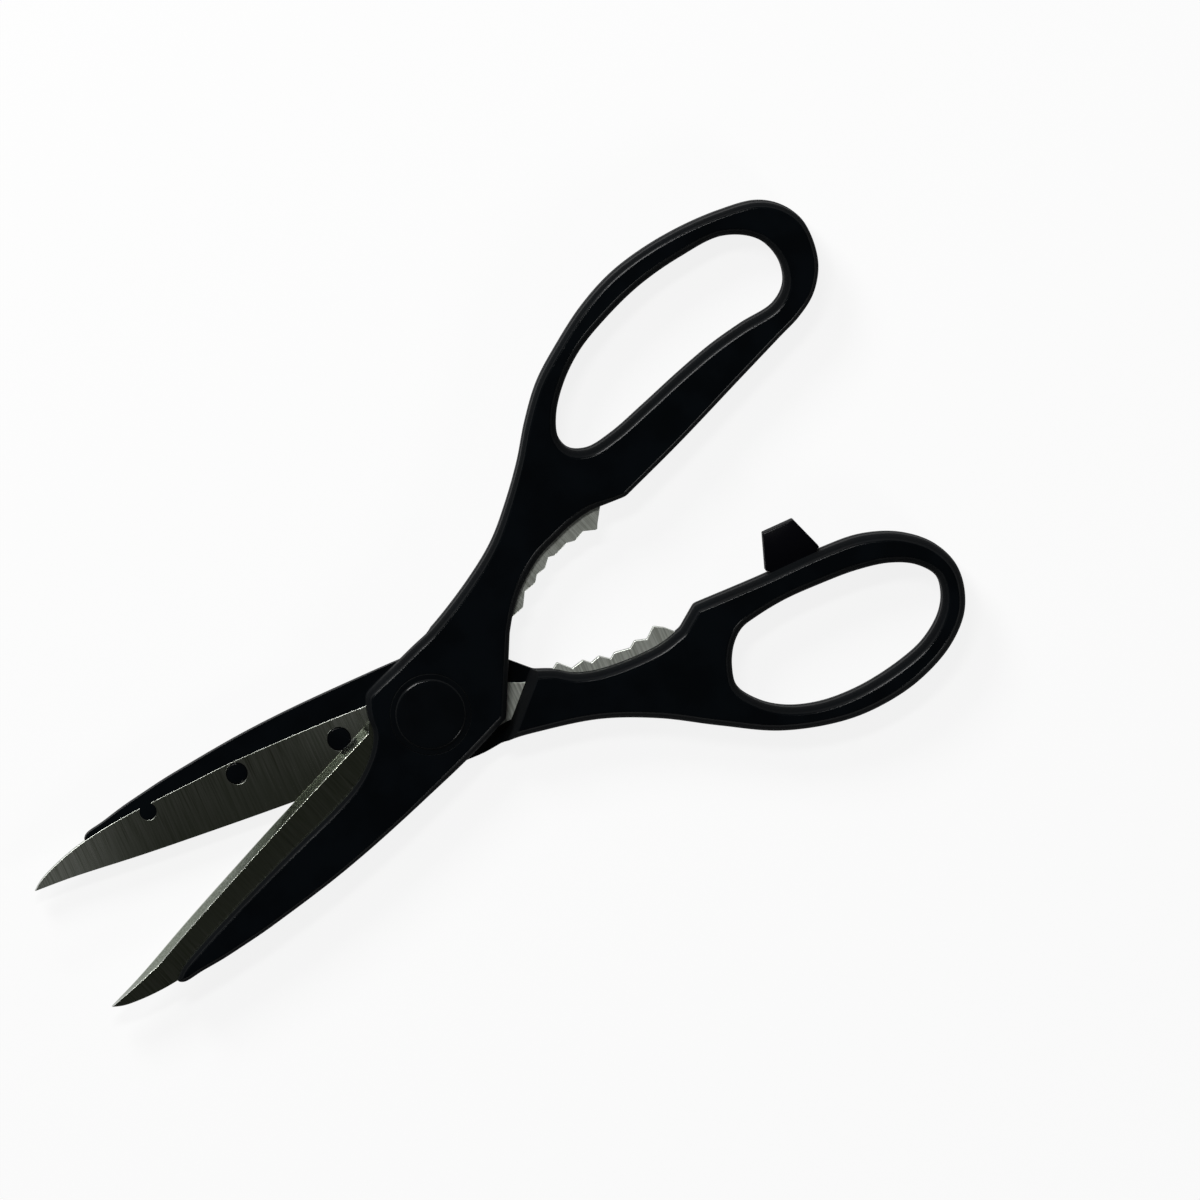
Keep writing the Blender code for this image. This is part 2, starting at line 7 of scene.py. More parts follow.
import math
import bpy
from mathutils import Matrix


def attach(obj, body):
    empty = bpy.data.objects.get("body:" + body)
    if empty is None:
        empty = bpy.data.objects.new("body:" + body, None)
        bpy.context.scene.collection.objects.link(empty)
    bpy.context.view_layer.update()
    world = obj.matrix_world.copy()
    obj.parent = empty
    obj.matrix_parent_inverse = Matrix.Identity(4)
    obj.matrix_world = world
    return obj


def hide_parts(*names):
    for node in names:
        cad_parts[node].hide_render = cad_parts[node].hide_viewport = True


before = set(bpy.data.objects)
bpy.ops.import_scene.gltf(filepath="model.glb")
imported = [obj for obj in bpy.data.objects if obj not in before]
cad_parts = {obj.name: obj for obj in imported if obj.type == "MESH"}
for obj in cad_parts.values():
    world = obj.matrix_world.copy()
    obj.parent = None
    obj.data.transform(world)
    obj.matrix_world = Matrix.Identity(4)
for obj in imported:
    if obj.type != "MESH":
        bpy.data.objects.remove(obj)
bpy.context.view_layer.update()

from types import SimpleNamespace

import bmesh
import bpy
import numpy as np
from mathutils import Matrix, Vector
from mathutils.geometry import delaunay_2d_cdt

# Sizes of the frame's solids
PLATE = 0.0030
STEEL = 0.0023
FIT = 0.0003
OPEN_ANGLE = math.radians(18.4)
TIP_CROSSING = math.radians(0.6)
BLADE_REACH = 0.0910
SPINE_OFFSET = 0.0126
EDGE_OFFSET = 0.0071
BEVEL = 0.0014
TIP_TAPER = 0.0140
HUB_EDGE = 0.0125
STEEL_HUB = 0.0090
SHOULDER = 0.0161
STEP_GAP = 0.0006
STEP_DRAFT = 0.0017
FINGER_REACH = 0.1136
FINGER_DEPTH = 0.0379
THUMB_REACH = 0.1278
THUMB_DEPTH = 0.0418
PEG_HOLE_RADII = (0.0025, 0.0023)
PEG_GAP = 0.00012
NOTCH_RADIUS = 0.0018
NOTCH_DEPTH = 0.0014
FINGER_TOOTH_HEIGHT = 0.0014
THUMB_TOOTH_HEIGHT = 0.0010
SCREW_RADIUS = 0.0030
CAP_RADIUS = 0.0085
CAP_ROOF = 0.0010
CAP_WALL = 0.0012
CAP_PROUD = 0.0005
STOP_FOOT = 0.0124
STOP_TOP = 0.0070
STOP_WIDTH = 0.0060
STOP_SEAT = 0.0030
STOP_GAP = 0.0003

INNER_FACE = PLATE + FIT + STEEL
THICKNESS = 2 * INNER_FACE + FIT
STEEL_BACK = PLATE + FIT
STEP = SHOULDER + STEP_GAP
SHOULDER_START = SHOULDER * math.sqrt(2)

# Outlines as shares of the reach and the offset or depth that they follow
STEEL_SPINE_SHARES = (
    (0.125, 0.532), (0.229, 0.571), (0.357, 0.595), (0.482, 0.603), (0.549, 0.583), (0.670, 0.548),
    (0.747, 0.516), (0.799, 0.476), (0.848, 0.421), (0.891, 0.349), (0.936, 0.246), (0.977, 0.119),
    (1.0, 0.0))
EDGE_SHARES = ((1.0, 0.0), (0.909, 0.085), (0.740, 0.338), (0.571, 0.549), (0.380, 0.761), (0.122, 1.0))
PLATE_SPINE_SHARES = (
    (0.0, 0.992), (0.143, 1.0), (0.263, 0.996), (0.343, 0.980), (0.415, 0.952), (0.490, 0.905),
    (0.562, 0.849), (0.622, 0.798), (0.678, 0.734), (0.735, 0.663), (0.791, 0.571), (0.838, 0.500),
    (0.849, 0.413))
PLATE_FREE_SHARES = (
    (0.849, 0.413), (0.819, 0.317), (0.747, 0.246), (0.615, 0.175), (0.462, 0.119), (0.308, 0.087),
    (0.242, 0.040), (0.197, -0.056), (0.149, -0.246), (0.124, -0.429), (0.112, -0.635), (0.091, -0.860))
PEG_SHARES = ((0.215, 0.214), (0.463, 0.397))
NOTCH_SHARE = 0.686
SHOULDER_CORNER_SHARE = 0.93
HUB_EDGE_SHARES = ((-0.44, 0.955), (-0.25, 0.985), (0.06, 0.995), (0.44, 1.01))
STEEL_HUB_EDGE_SHARES = ((-0.40, 0.94), (0.0, 1.02), (0.50, 1.02), (0.95, 0.96))
STEEL_HUB_TOP_SHARES = ((1.32, -0.30), (1.08, -0.11), (0.55, 0.44), (0.0, 0.70))
SHOULDER_END_SHARE = 0.025
TOOTH_SHARES = (
    (0.043, 0.97), (0.055, 1.0), (0.149, -0.05), (0.238, 0.74), (0.250, 0.71), (0.305, 0.16),
    (0.432, 0.64), (0.444, 0.62), (0.488, 0.0), (0.570, 0.92), (0.582, 0.90), (0.652, 0.25),
    (0.711, 0.88), (0.723, 0.86), (0.815, -0.05), (0.927, 1.02), (0.939, 1.0))
TOOTH_SHIFT_SHARE = 0.022
STOP_PLACE_SHARE = 0.661
STOP_ROOT_SHARE = 0.86

FINGER = SimpleNamespace(
    name="finger", reach=FINGER_REACH, depth=FINGER_DEPTH,
    bow=(
        (-0.107, 0.322), (-0.036, 0.346), (0.103, 0.423), (0.228, 0.556), (0.346, 0.729), (0.471, 0.898),
        (0.605, 0.991), (0.703, 1.005), (0.812, 0.964), (0.915, 0.853), (0.979, 0.698), (1.002, 0.489),
        (0.977, 0.317), (0.914, 0.177), (0.828, 0.095), (0.729, 0.074), (0.575, 0.074), (0.410, 0.063)),
    jaw=(
        (0.358, 0.153), (0.301, 0.187), (0.244, 0.193), (0.189, 0.187), (0.137, 0.169), (0.091, 0.132),
        (0.053, 0.071)),
    eye=(
        (0.423, 0.575), (0.456, 0.699), (0.509, 0.792), (0.586, 0.852), (0.685, 0.865), (0.795, 0.826),
        (0.861, 0.773), (0.916, 0.678), (0.942, 0.580), (0.948, 0.475), (0.916, 0.369), (0.861, 0.298),
        (0.784, 0.259), (0.696, 0.245), (0.605, 0.243), (0.530, 0.264), (0.489, 0.288), (0.457, 0.351),
        (0.431, 0.462)),
    teeth=(
        (0.326, 0.116), (0.281, 0.132), (0.235, 0.148), (0.185, 0.152), (0.136, 0.135), (0.091, 0.108),
        (0.049, 0.074)),
    tooth_height=FINGER_TOOTH_HEIGHT,
    tooth_shift=TOOTH_SHIFT_SHARE,
    tang=(
        (0.025, 0.251), (0.146, 0.303), (0.256, 0.369), (0.333, 0.401), (0.377, 0.343), (0.380, 0.251),
        (0.352, 0.180)))
THUMB = SimpleNamespace(
    name="thumb", reach=THUMB_REACH, depth=THUMB_DEPTH,
    bow=(
        (-0.100, 0.304), (0.016, 0.352), (0.105, 0.416), (0.182, 0.514), (0.253, 0.624), (0.318, 0.744),
        (0.390, 0.852), (0.475, 0.926), (0.556, 0.978), (0.640, 1.0), (0.722, 0.983), (0.811, 0.933),
        (0.893, 0.859), (0.957, 0.775), (0.987, 0.684), (1.0, 0.574), (0.994, 0.474), (0.964, 0.333),
        (0.917, 0.242), (0.866, 0.206), (0.808, 0.196), (0.692, 0.177), (0.518, 0.148), (0.366, 0.134)),
    jaw=(
        (0.315, 0.182), (0.293, 0.201), (0.249, 0.215), (0.205, 0.213), (0.161, 0.206), (0.111, 0.172),
        (0.071, 0.129), (0.038, 0.079)),
    eye=(
        (0.347, 0.580), (0.376, 0.675), (0.430, 0.766), (0.496, 0.830), (0.583, 0.861), (0.674, 0.866),
        (0.770, 0.833), (0.861, 0.766), (0.909, 0.632), (0.912, 0.490), (0.886, 0.378), (0.844, 0.337),
        (0.769, 0.371), (0.696, 0.395), (0.611, 0.404), (0.512, 0.405), (0.430, 0.410), (0.375, 0.437),
        (0.348, 0.500)),
    teeth=(
        (0.287, 0.126), (0.256, 0.146), (0.218, 0.163), (0.165, 0.170), (0.123, 0.148), (0.085, 0.120),
        (0.039, 0.072)),
    tooth_height=THUMB_TOOTH_HEIGHT,
    tooth_shift=-TOOTH_SHIFT_SHARE,
    tang=(
        (0.021, 0.235), (0.126, 0.292), (0.221, 0.371), (0.288, 0.407), (0.326, 0.347), (0.331, 0.263),
        (0.314, 0.180)))


# How finely lines are drawn
SPAN_STEPS = 40
NOTCH_STEPS = 160
HOLE_SIDES = 64
WINDOW_SIDES = 96
CAP_SIDES = 128
MOULD_SPACING = 0.00036
POCKET_SPACING = 0.0003
BLADE_SPACING = 0.0004
TOOTH_BASE_SPACING = 0.0001

# The average that rounds corners: its steps in a radius, and its bell's width and reach in steps
BELL_STEPS = 5
BELL_WIDTH = 4
BELL_REACH = 12

# The turn that makes a corner, when two places count as one, and the share of its distance that a moved
# line has to keep
CORNER = math.radians(20)
TOUCHING = 1e-6
KEPT_SHARE = 0.97


# Curves in the plane

def mirrored(point, centre):
    return 2 * centre - point


def smooth(points, closed=False):
    """Centripetal Catmull-Rom curve through the points: each span is blended between its four knots,
    which lie the square root of a chord apart. All spans are worked out as one array."""
    points = np.array(points, float)
    if closed:
        points = np.vstack([points[-1:], points, points[:2]])
    else:
        points = np.vstack([mirrored(points[1], points[0]), points, mirrored(points[-2], points[-1])])
    a, b, c, d = points[:-3, None], points[1:-2, None], points[2:-1, None], points[3:, None]
    roots = [np.sqrt(np.linalg.norm(q - p, axis=2, keepdims=True)) for p, q in ((a, b), (b, c), (c, d))]
    k1 = roots[0]
    k2 = k1 + roots[1]
    k3 = k2 + roots[2]
    t = k1 + (k2 - k1) * np.linspace(0, 1, SPAN_STEPS, endpoint=False)[None, :, None]
    ab = a + (b - a) * t / k1
    bc = b + (c - b) * (t - k1) / (k2 - k1)
    cd = c + (d - c) * (t - k2) / (k3 - k2)
    early = ab + (bc - ab) * t / k2
    late = bc + (cd - bc) * (t - k1) / (k3 - k1)
    line = (early + (late - early) * (t - k1) / (k2 - k1)).reshape(-1, 2)
    return line if closed else np.vstack([line, points[-2]])


def spaced(line, spacing, closed=False):
    """The same line with its points evenly spaced along its length."""
    if closed:
        line = np.vstack([line, line[:1]])
    lengths = np.concatenate([[0], np.cumsum(np.linalg.norm(np.diff(line, axis=0), axis=1))])
    count = max(2, round(lengths[-1] / spacing) + 1)
    places = np.linspace(0, lengths[-1], count)
    even = np.stack([np.interp(places, lengths, line[:, k]) for k in range(2)], 1)
    return even[:-1] if closed else even


def softened(line, radius, spacing):
    """A closed line with its corners rounded, by a bell-shaped average along its length."""
    dense = spaced(line, radius / BELL_STEPS, closed=True)
    reach = np.arange(-BELL_REACH, BELL_REACH + 1)
    weights = np.exp(-0.5 * (reach / BELL_WIDTH) ** 2)
    total = sum(weight * np.roll(dense, shift, axis=0) for weight, shift in zip(weights, reach))
    return spaced(total / weights.sum(), spacing, closed=True)


def crisp(line, spacing):
    """A closed line with its points evenly spaced between its corners, which stay sharp. Of points that lie
    within a thousandth of the spacing, one is kept."""
    line = line[np.linalg.norm(np.roll(line, -1, axis=0) - line, axis=1) > spacing / 1000]
    before = line - np.roll(line, 1, axis=0)
    after = np.roll(line, -1, axis=0) - line
    bend = np.arctan2(before[:, 0] * after[:, 1] - before[:, 1] * after[:, 0], (before * after).sum(1))
    corners = np.flatnonzero(np.abs(bend) > CORNER)
    line = np.roll(line, -corners[0], axis=0)
    line = np.vstack([line, line[:1]])
    stops = [*(corners - corners[0]), len(line) - 1]
    runs = [spaced(line[start:stop + 1], spacing)[:-1] for start, stop in zip(stops, stops[1:])]
    return np.vstack(runs)


def settled(values, rounds):
    """Values round a closed line, averaged with their neighbours again and again."""
    for _ in range(rounds):
        values = (np.roll(values, 1) + 2 * values + np.roll(values, -1)) / 4
    return values


def distances(points, line):
    """The distance from each point to the nearest point of a line."""
    return np.sqrt(((points[:, None] - line[None]) ** 2).sum(2).min(1))


def bridged(line, good):
    """A closed line whose points run straight between the nearest good ones."""
    index = np.arange(len(line))
    known = np.concatenate([index[good] - len(line), index[good], index[good] + len(line)])
    return np.stack([np.interp(index, known, np.tile(line[good, k], 3)) for k in range(2)], 1)


def clear_of_loops(line):
    """Which points of a closed line lie on no small loop. Two of its pieces cross where each has its ends
    on both sides of the other, and the points on the short way between them are the loop's."""
    count = len(line)
    piece = np.roll(line, -1, axis=0) - line
    apart = line[None] - line[:, None]
    side = piece[:, None, 0] * apart[:, :, 1] - piece[:, None, 1] * apart[:, :, 0]
    split = side * np.roll(side, -1, axis=1) < 0
    good = np.ones(count, bool)
    for first, second in np.argwhere(np.triu(split & split.T, 2)):
        if second - first < count / 2:
            good[first + 1:second + 1] = False
        else:
            good[second + 1:] = False
            good[:first + 1] = False
    return good


def inset(line, width):
    """A closed counter-clockwise line moved inwards by a width at each point. Where the moved line would
    fold over itself, it runs straight between the nearest places that keep their distance."""
    tangent = np.roll(line, -1, axis=0) - np.roll(line, 1, axis=0)
    tangent /= np.linalg.norm(tangent, axis=1, keepdims=True)
    width = np.broadcast_to(width, len(line))
    moved = line + width[:, None] * np.stack([-tangent[:, 1], tangent[:, 0]], 1)
    moved = bridged(moved, distances(moved, line) >= np.abs(width) * KEPT_SHARE - TOUCHING)
    return bridged(moved, clear_of_loops(moved))


def height_at(curve, x):
    """The height of a curve at each place along X, read between its points."""
    order = np.argsort(curve[:, 0])
    return np.interp(x, curve[order, 0], curve[order, 1])


def ramp(value, low, high):
    """Nought at the low value and one at the high one, straight between them and held beyond them."""
    return np.clip((value - low) / (high - low), 0, 1)


# Outlines of one half

def blade_points(shares, offset):
    """Shares of the blade's reach, from the pivot to the tip, and of an offset, as points."""
    return np.array(shares) * (-BLADE_REACH, offset)


def hub_points(shares, width, side=1):
    """Shares of the shoulder's size and of a width to one side of the pivot, as points."""
    return np.array(shares) * (SHOULDER, side * width)


def handle_points(half, shares):
    """Shares of the length from the shoulder to the handle's far end, and of its depth, as points."""
    return (SHOULDER_START, 0) + np.array(shares) * (half.reach - SHOULDER_START, -half.depth)


def on_shoulder(y):
    """The point at a height on the shoulder, a straight line at 45 degrees."""
    return np.array([SHOULDER_START - y, y])


def handle_outline(half):
    """A moulding's outline, counter-clockwise: one curve along plate, hub and bow, one along the jaw to the
    shoulder, a straight shoulder and one along the plate's spine."""
    outer = smooth(np.vstack([
        blade_points(PLATE_FREE_SHARES, SPINE_OFFSET), hub_points(HUB_EDGE_SHARES, HUB_EDGE, -1),
        handle_points(half, half.bow)]))
    jaw = smooth(np.vstack([handle_points(half, half.jaw), on_shoulder(-SHOULDER_END_SHARE * half.depth)]))
    spine = smooth(np.vstack([
        on_shoulder(SHOULDER_CORNER_SHARE * SPINE_OFFSET), blade_points(PLATE_SPINE_SHARES, SPINE_OFFSET)]))
    return np.vstack([outer, jaw, spine[:-1]])


def toothed_edge(half):
    """The jaw's teeth: straight lines between corners that stand off a smooth base line by their heights."""
    base = spaced(smooth(handle_points(half, half.teeth)), TOOTH_BASE_SPACING)
    lengths = np.concatenate([[0], np.cumsum(np.linalg.norm(np.diff(base, axis=0), axis=1))])
    shares = np.array(TOOTH_SHARES)
    places = lengths[-1] * (shares[:, 0] + half.tooth_shift)
    rise = half.tooth_height * shares[:, 1]
    along = np.gradient(base, axis=0)
    along /= np.linalg.norm(along, axis=1, keepdims=True)
    outward = np.stack([along[:, 1], -along[:, 0]], 1)
    lifted = [np.interp(places, lengths, base[:, k]) + rise * np.interp(places, lengths, outward[:, k])
              for k in range(2)]
    return np.vstack([base[0], np.stack(lifted, 1), base[-1]])


def notched(spine):
    """The blade's spine with its round open notch, from the hub towards the tip."""
    x = -NOTCH_SHARE * BLADE_REACH
    centre = np.array([x, height_at(spine, x) - NOTCH_DEPTH])
    turns = math.pi / 2 - 2 * math.pi * np.linspace(0, 1, NOTCH_STEPS)
    notch = centre + NOTCH_RADIUS * np.stack([np.cos(turns), np.sin(turns)], 1)
    notch = notch[notch[:, 1] < height_at(spine, notch[:, 0])]
    outside = np.linalg.norm(spine - centre, axis=1) > NOTCH_RADIUS
    return np.vstack([spine[outside & (spine[:, 0] > x)], notch, spine[outside & (spine[:, 0] < x)]])


def blade_outline(half):
    """A blade's outline, counter-clockwise: cutting edge, hub and tang, teeth, top, and notched spine."""
    edge = smooth(blade_points(EDGE_SHARES, -EDGE_OFFSET))
    tang = smooth(np.vstack([edge[-1], hub_points(STEEL_HUB_EDGE_SHARES, STEEL_HUB, -1),
                             handle_points(half, half.tang)]))
    teeth = toothed_edge(half)
    spine = smooth(blade_points(STEEL_SPINE_SHARES, SPINE_OFFSET))
    top = smooth(np.vstack([teeth[-1], hub_points(STEEL_HUB_TOP_SHARES, STEEL_HUB), spine[0]]))
    return np.vstack([edge[:-1], tang, teeth, top[1:-1], notched(spine)[:-1]])


# Meshes

def make_piece(name, points, faces):
    mesh = bpy.data.meshes.new(name)
    mesh.from_pydata(points, [], faces)
    item = bpy.data.objects.new(name, mesh)
    bpy.context.scene.collection.objects.link(item)
    return item


def wall(rings):
    """The points and four-sided faces of a closed wall that passes through a stack of equal rings."""
    levels, count = rings.shape[:2]
    index = np.arange(levels * count).reshape(levels, count)
    ahead = np.roll(index, -1, axis=1)
    faces = np.stack([index[:-1], ahead[:-1], ahead[1:], index[1:]], -1).reshape(-1, 4)
    return rings.reshape(-1, 3), faces


def raised(line, z):
    """Points of the plane lifted to a height, or each to its own."""
    return np.column_stack([line, np.broadcast_to(z, len(line))])


def within(points, starts, ends):
    """Which points lie inside closed lines made of short pieces: those from which a line towards +X crosses
    the pieces an odd number of times."""
    x, y = points[:, None, 0], points[:, None, 1]
    rise = ends[:, 1] - starts[:, 1]
    run = (ends[:, 0] - starts[:, 0]) / np.where(rise == 0, 1, rise)
    crossed = ((starts[:, 1] > y) != (ends[:, 1] > y)) & (x < starts[:, 0] + (y - starts[:, 1]) * run)
    return crossed.sum(1) % 2 == 1


def close_faces(item):
    """Fill the flat ends of an open wall with the Delaunay triangles between its own points, worked out in
    millimetres, keep those inside it and outside its holes, and turn every face outwards."""
    work = bmesh.new()
    work.from_mesh(item.data)
    rims = [edge for edge in work.edges if edge.is_boundary]
    for level in sorted({round(edge.verts[0].co.z, 7) for edge in rims}):
        rim = [edge.verts[:] for edge in rims if abs(edge.verts[0].co.z - level) < TOUCHING]
        corners = list(dict.fromkeys(vert for pair in rim for vert in pair))
        number = {vert: index for index, vert in enumerate(corners)}
        pairs = np.array([[number[vert] for vert in pair] for pair in rim])
        places = np.array([vert.co.xy for vert in corners]) * 1000
        net = delaunay_2d_cdt([Vector(place) for place in places], pairs.tolist(), [], 1, TOUCHING)
        corner_of = [originals[0] for originals in net[3]]
        triangles = np.array([[corner_of[index] for index in face] for face in net[2]])
        inside = within(places[triangles].mean(1), places[pairs[:, 0]], places[pairs[:, 1]])
        for triangle in triangles[inside]:
            work.faces.new([corners[index] for index in triangle])
    bmesh.ops.recalc_face_normals(work, faces=work.faces)
    work.to_mesh(item.data)
    work.free()


def prism(name, line, low, high):
    """A closed block between two levels, its outline counter-clockwise."""
    points, faces = wall(np.stack([raised(line, low), raised(line, high)]))
    count = len(line)
    ends = [list(range(count))[::-1], list(range(count, 2 * count))]
    return make_piece(name, points, [*faces.tolist(), *ends])


def turned(profile, sides, centre=(0.0, 0.0)):
    """Points and faces of a profile of radius and height, turned about an upright axis. Its ends lie on
    the axis, where each closes in one point."""
    profile = np.array(profile)
    turns = np.linspace(0, 2 * math.pi, sides, endpoint=False)
    ring = np.stack([np.cos(turns), np.sin(turns)], 1)
    body = profile[1:-1]
    rings = np.concatenate([
        np.array(centre) + body[:, None, :1] * ring[None],
        np.broadcast_to(body[:, None, 1:], (len(body), sides, 1))], 2)
    points, faces = wall(rings)
    low, high = len(points), len(points) + 1
    points = np.vstack([points, [[*centre, profile[0, 1]], [*centre, profile[-1, 1]]]])
    side = np.arange(sides)
    ahead = (side + 1) % sides
    last = (len(body) - 1) * sides
    first_fan = np.stack([ahead, side, np.full(sides, low)], 1)
    last_fan = np.stack([last + side, last + ahead, np.full(sides, high)], 1)
    return points, [*faces.tolist(), *first_fan.tolist(), *last_fan.tolist()]


def carve(item, cutter):
    """Cut one piece by another for good, and remove the cutter."""
    modifier = item.modifiers.new("carve", "BOOLEAN")
    modifier.operation = "DIFFERENCE"
    modifier.solver = "EXACT"
    modifier.object = cutter
    settle(item)
    bpy.data.objects.remove(cutter)


def settle(item):
    """Keep what a piece's modifiers make as its mesh."""
    depsgraph = bpy.context.evaluated_depsgraph_get()
    mesh = bpy.data.meshes.new_from_object(item.evaluated_get(depsgraph))
    item.modifiers.clear()
    item.data = mesh


def finish_piece(item, half, material, sharp=35):
    """Lay a piece where its half lies, shade it smooth but for edges that turn by more than some degrees,
    and give it its material and its body."""
    mesh = item.data
    points = np.empty(len(mesh.vertices) * 3)
    mesh.vertices.foreach_get("co", points)
    points = points.reshape(-1, 3)
    if half is THUMB:
        c, s = math.cos(OPEN_ANGLE), math.sin(OPEN_ANGLE)
        x, y = points[:, 0].copy(), -points[:, 1]
        points = np.stack([c * x - s * y, s * x + c * y, THICKNESS - points[:, 2]], 1)
    mesh.vertices.foreach_set("co", points.ravel())
    mesh.shade_smooth()
    mesh.set_sharp_from_angle(angle=math.radians(sharp))
    mesh.materials.clear()
    mesh.materials.append(material)
    mesh.update()
    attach(item, half.name + "_half")


# Handles

# Widths of the rims' rounds, and the crease in which a rim leaves the flat face
FACE_LINE = 0.00045
RIM_PLATE = 0.0008
RIM_HUB = 0.0013
RIM_THUMB_BOW = 0.0009
RIM_FINGER_BOW = 0.0014
RIM_EYE = 0.0014
RIM_JAW = 0.0014
CREASE = math.radians(40)
CREASE_WIDTH = 0.00036

# The ridge where the mould's halves met
RIDGE_HALF_WIDTH = 0.00018
RIDGE_HEIGHT = 0.00007

# The share of a rail that each rim may take, and how often a rim's width is averaged along it
RAIL_SHARE = 0.42
EYE_RAIL_SHARE = 0.30
RIM_ROUNDS = 60

# The jaw's wider rim: how close to the jaw and how far past the shoulder it starts and is full
JAW_FAR = 0.002
JAW_NEAR = 0.0005
JAW_RIM_START = 0.003
JAW_RIM_FULL = 0.012

# Rounded corners, gaps round the blade and the cap, and edges cut off at a slant
MOULD_ROUND = 0.00045
POCKET_ROUND = 0.00015
POCKET_GAP = 0.0001
CAP_GAP = 0.00008
EDGE_CUT = 0.00018
CUT_SLANT = 1.2


def rim_profile(count):
    """A rim's round as shares of its width: distances inside its edge and depths, from the crease, where it
    leaves the flat face at a slant, along an arc of one circle to the upright side."""
    turn = np.linspace(CREASE, math.pi / 2, count)
    radius = 1 / (1 - math.sin(CREASE))
    return radius * (1 - np.sin(turn)), radius * (math.cos(CREASE) - np.cos(turn))


def crease_profile(count):
    """The crease's own small round: distances inside the rim and depths, from the flat face to the slant."""
    turn = np.linspace(0, CREASE, count)
    radius = CREASE_WIDTH / math.sin(CREASE)
    return CREASE_WIDTH - radius * np.sin(turn), radius * (1 - np.cos(turn))


def rim_rings(line, width, outwards):
    """The wall of a moulding along one line: flat face, crease, rounded rim, upright side with the fine
    ridge where the mould's halves met, and the same again on the other face."""
    sign = -1 if outwards else 1
    away, sunk = crease_profile(count=5)
    inwards, downwards = rim_profile(count=8)
    steps = [(width + FACE_LINE, 0 * width)]
    steps += [(width + a, 0 * width + b) for a, b in zip(away, sunk)]
    steps += [(width * a, width * b + sunk[-1]) for a, b in zip(inwards[1:], downwards[1:])]
    lower = [raised(inset(line, sign * w), depth) for w, depth in steps]
    upper = [ring * (1, 1, -1) + (0, 0, THICKNESS) for ring in lower[::-1]]
    middle = THICKNESS / 2
    ridge = [raised(line, middle - RIDGE_HALF_WIDTH), raised(inset(line, -sign * RIDGE_HEIGHT), middle),
             raised(line, middle + RIDGE_HALF_WIDTH)]
    return np.stack([*lower, *ridge, *upper])


def make_handle(half, material):
    """One moulding: bow, jaw, hub and the plate over the blade, cut for the other half and the blade."""
    line = softened(handle_outline(half), MOULD_ROUND, MOULD_SPACING)
    eye = spaced(smooth(handle_points(half, half.eye), closed=True), MOULD_SPACING, closed=True)
    rail = distances(line, eye)
    width = RIM_PLATE + (RIM_HUB - RIM_PLATE) * ramp(line[:, 0], -SHOULDER, 0)
    bow = RIM_FINGER_BOW if half is FINGER else RIM_THUMB_BOW
    width = width + (bow - RIM_HUB) * ramp(line[:, 0], 0, 2 * SHOULDER_START)
    beside_jaw = ramp(distances(line, smooth(handle_points(half, half.jaw))), JAW_FAR, JAW_NEAR)
    past_hub = ramp(line[:, 0], SHOULDER_START + JAW_RIM_START, SHOULDER_START + JAW_RIM_FULL)
    width = width + (RIM_JAW - bow) * (beside_jaw * past_hub)
    width = settled(np.minimum(width, RAIL_SHARE * rail), RIM_ROUNDS)
    eye_width = settled(np.minimum(RIM_EYE, EYE_RAIL_SHARE * distances(eye, line)), RIM_ROUNDS)
    points, faces = wall(rim_rings(line, width, False))
    eye_points, eye_faces = wall(rim_rings(eye, eye_width, True))
    item = make_piece(half.name + "_moulding", np.vstack([points, eye_points]),
                      [*faces.tolist(), *(eye_faces + len(points)).tolist()])
    close_faces(item)

    carve(item, other_half_room())
    pocket = inset(softened(blade_outline(half), POCKET_ROUND, POCKET_SPACING), -POCKET_GAP)
    carve(item, prism("pocket", pocket, PLATE, INNER_FACE + 0.5 * FIT))
    radius = CAP_RADIUS + CAP_GAP
    cut = EDGE_CUT / 3
    window = [(0.0, -FIT), (radius + cut + FIT, -FIT), (radius, cut), (radius, STEEL_BACK),
              (0.0, STEEL_BACK)]
    carve(item, make_piece("window", *turned(window, WINDOW_SIDES)))
    if half is FINGER:
        carve(item, stop_socket())
    finish_piece(item, half, material, sharp=24)
    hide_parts(half.name + "_handle")


def other_half_room():
    """The room over the inner face where the other half swings, up to the sloping step, whose top edge
    is cut off at a slant."""
    far = 2 * BLADE_REACH
    slope = STEP_DRAFT / INNER_FACE
    brink = THICKNESS - EDGE_CUT
    rings = []
    for level in (INNER_FACE, brink, THICKNESS + 2 * FIT):
        slant = slope * (min(level, brink) - INNER_FACE) + CUT_SLANT * max(level - brink, 0)
        foot = (STEP + slant) / math.sqrt(2)
        along = far / math.sqrt(2)
        near = (foot - along, -foot - along)
        beyond = (foot + along, -foot + along)
        line = np.array([near, beyond, (-far, beyond[1]), (-far, near[1])])
        rings.append(raised(line, level))
    points, faces = wall(np.stack(rings))
    return make_piece("room", points, [*faces.tolist(), [3, 2, 1, 0], [8, 9, 10, 11]])


# Blades

# A peg's rounded rim and the rise of its middle
PEG_ROUND = 0.00025
PEG_CROWN = 0.0001


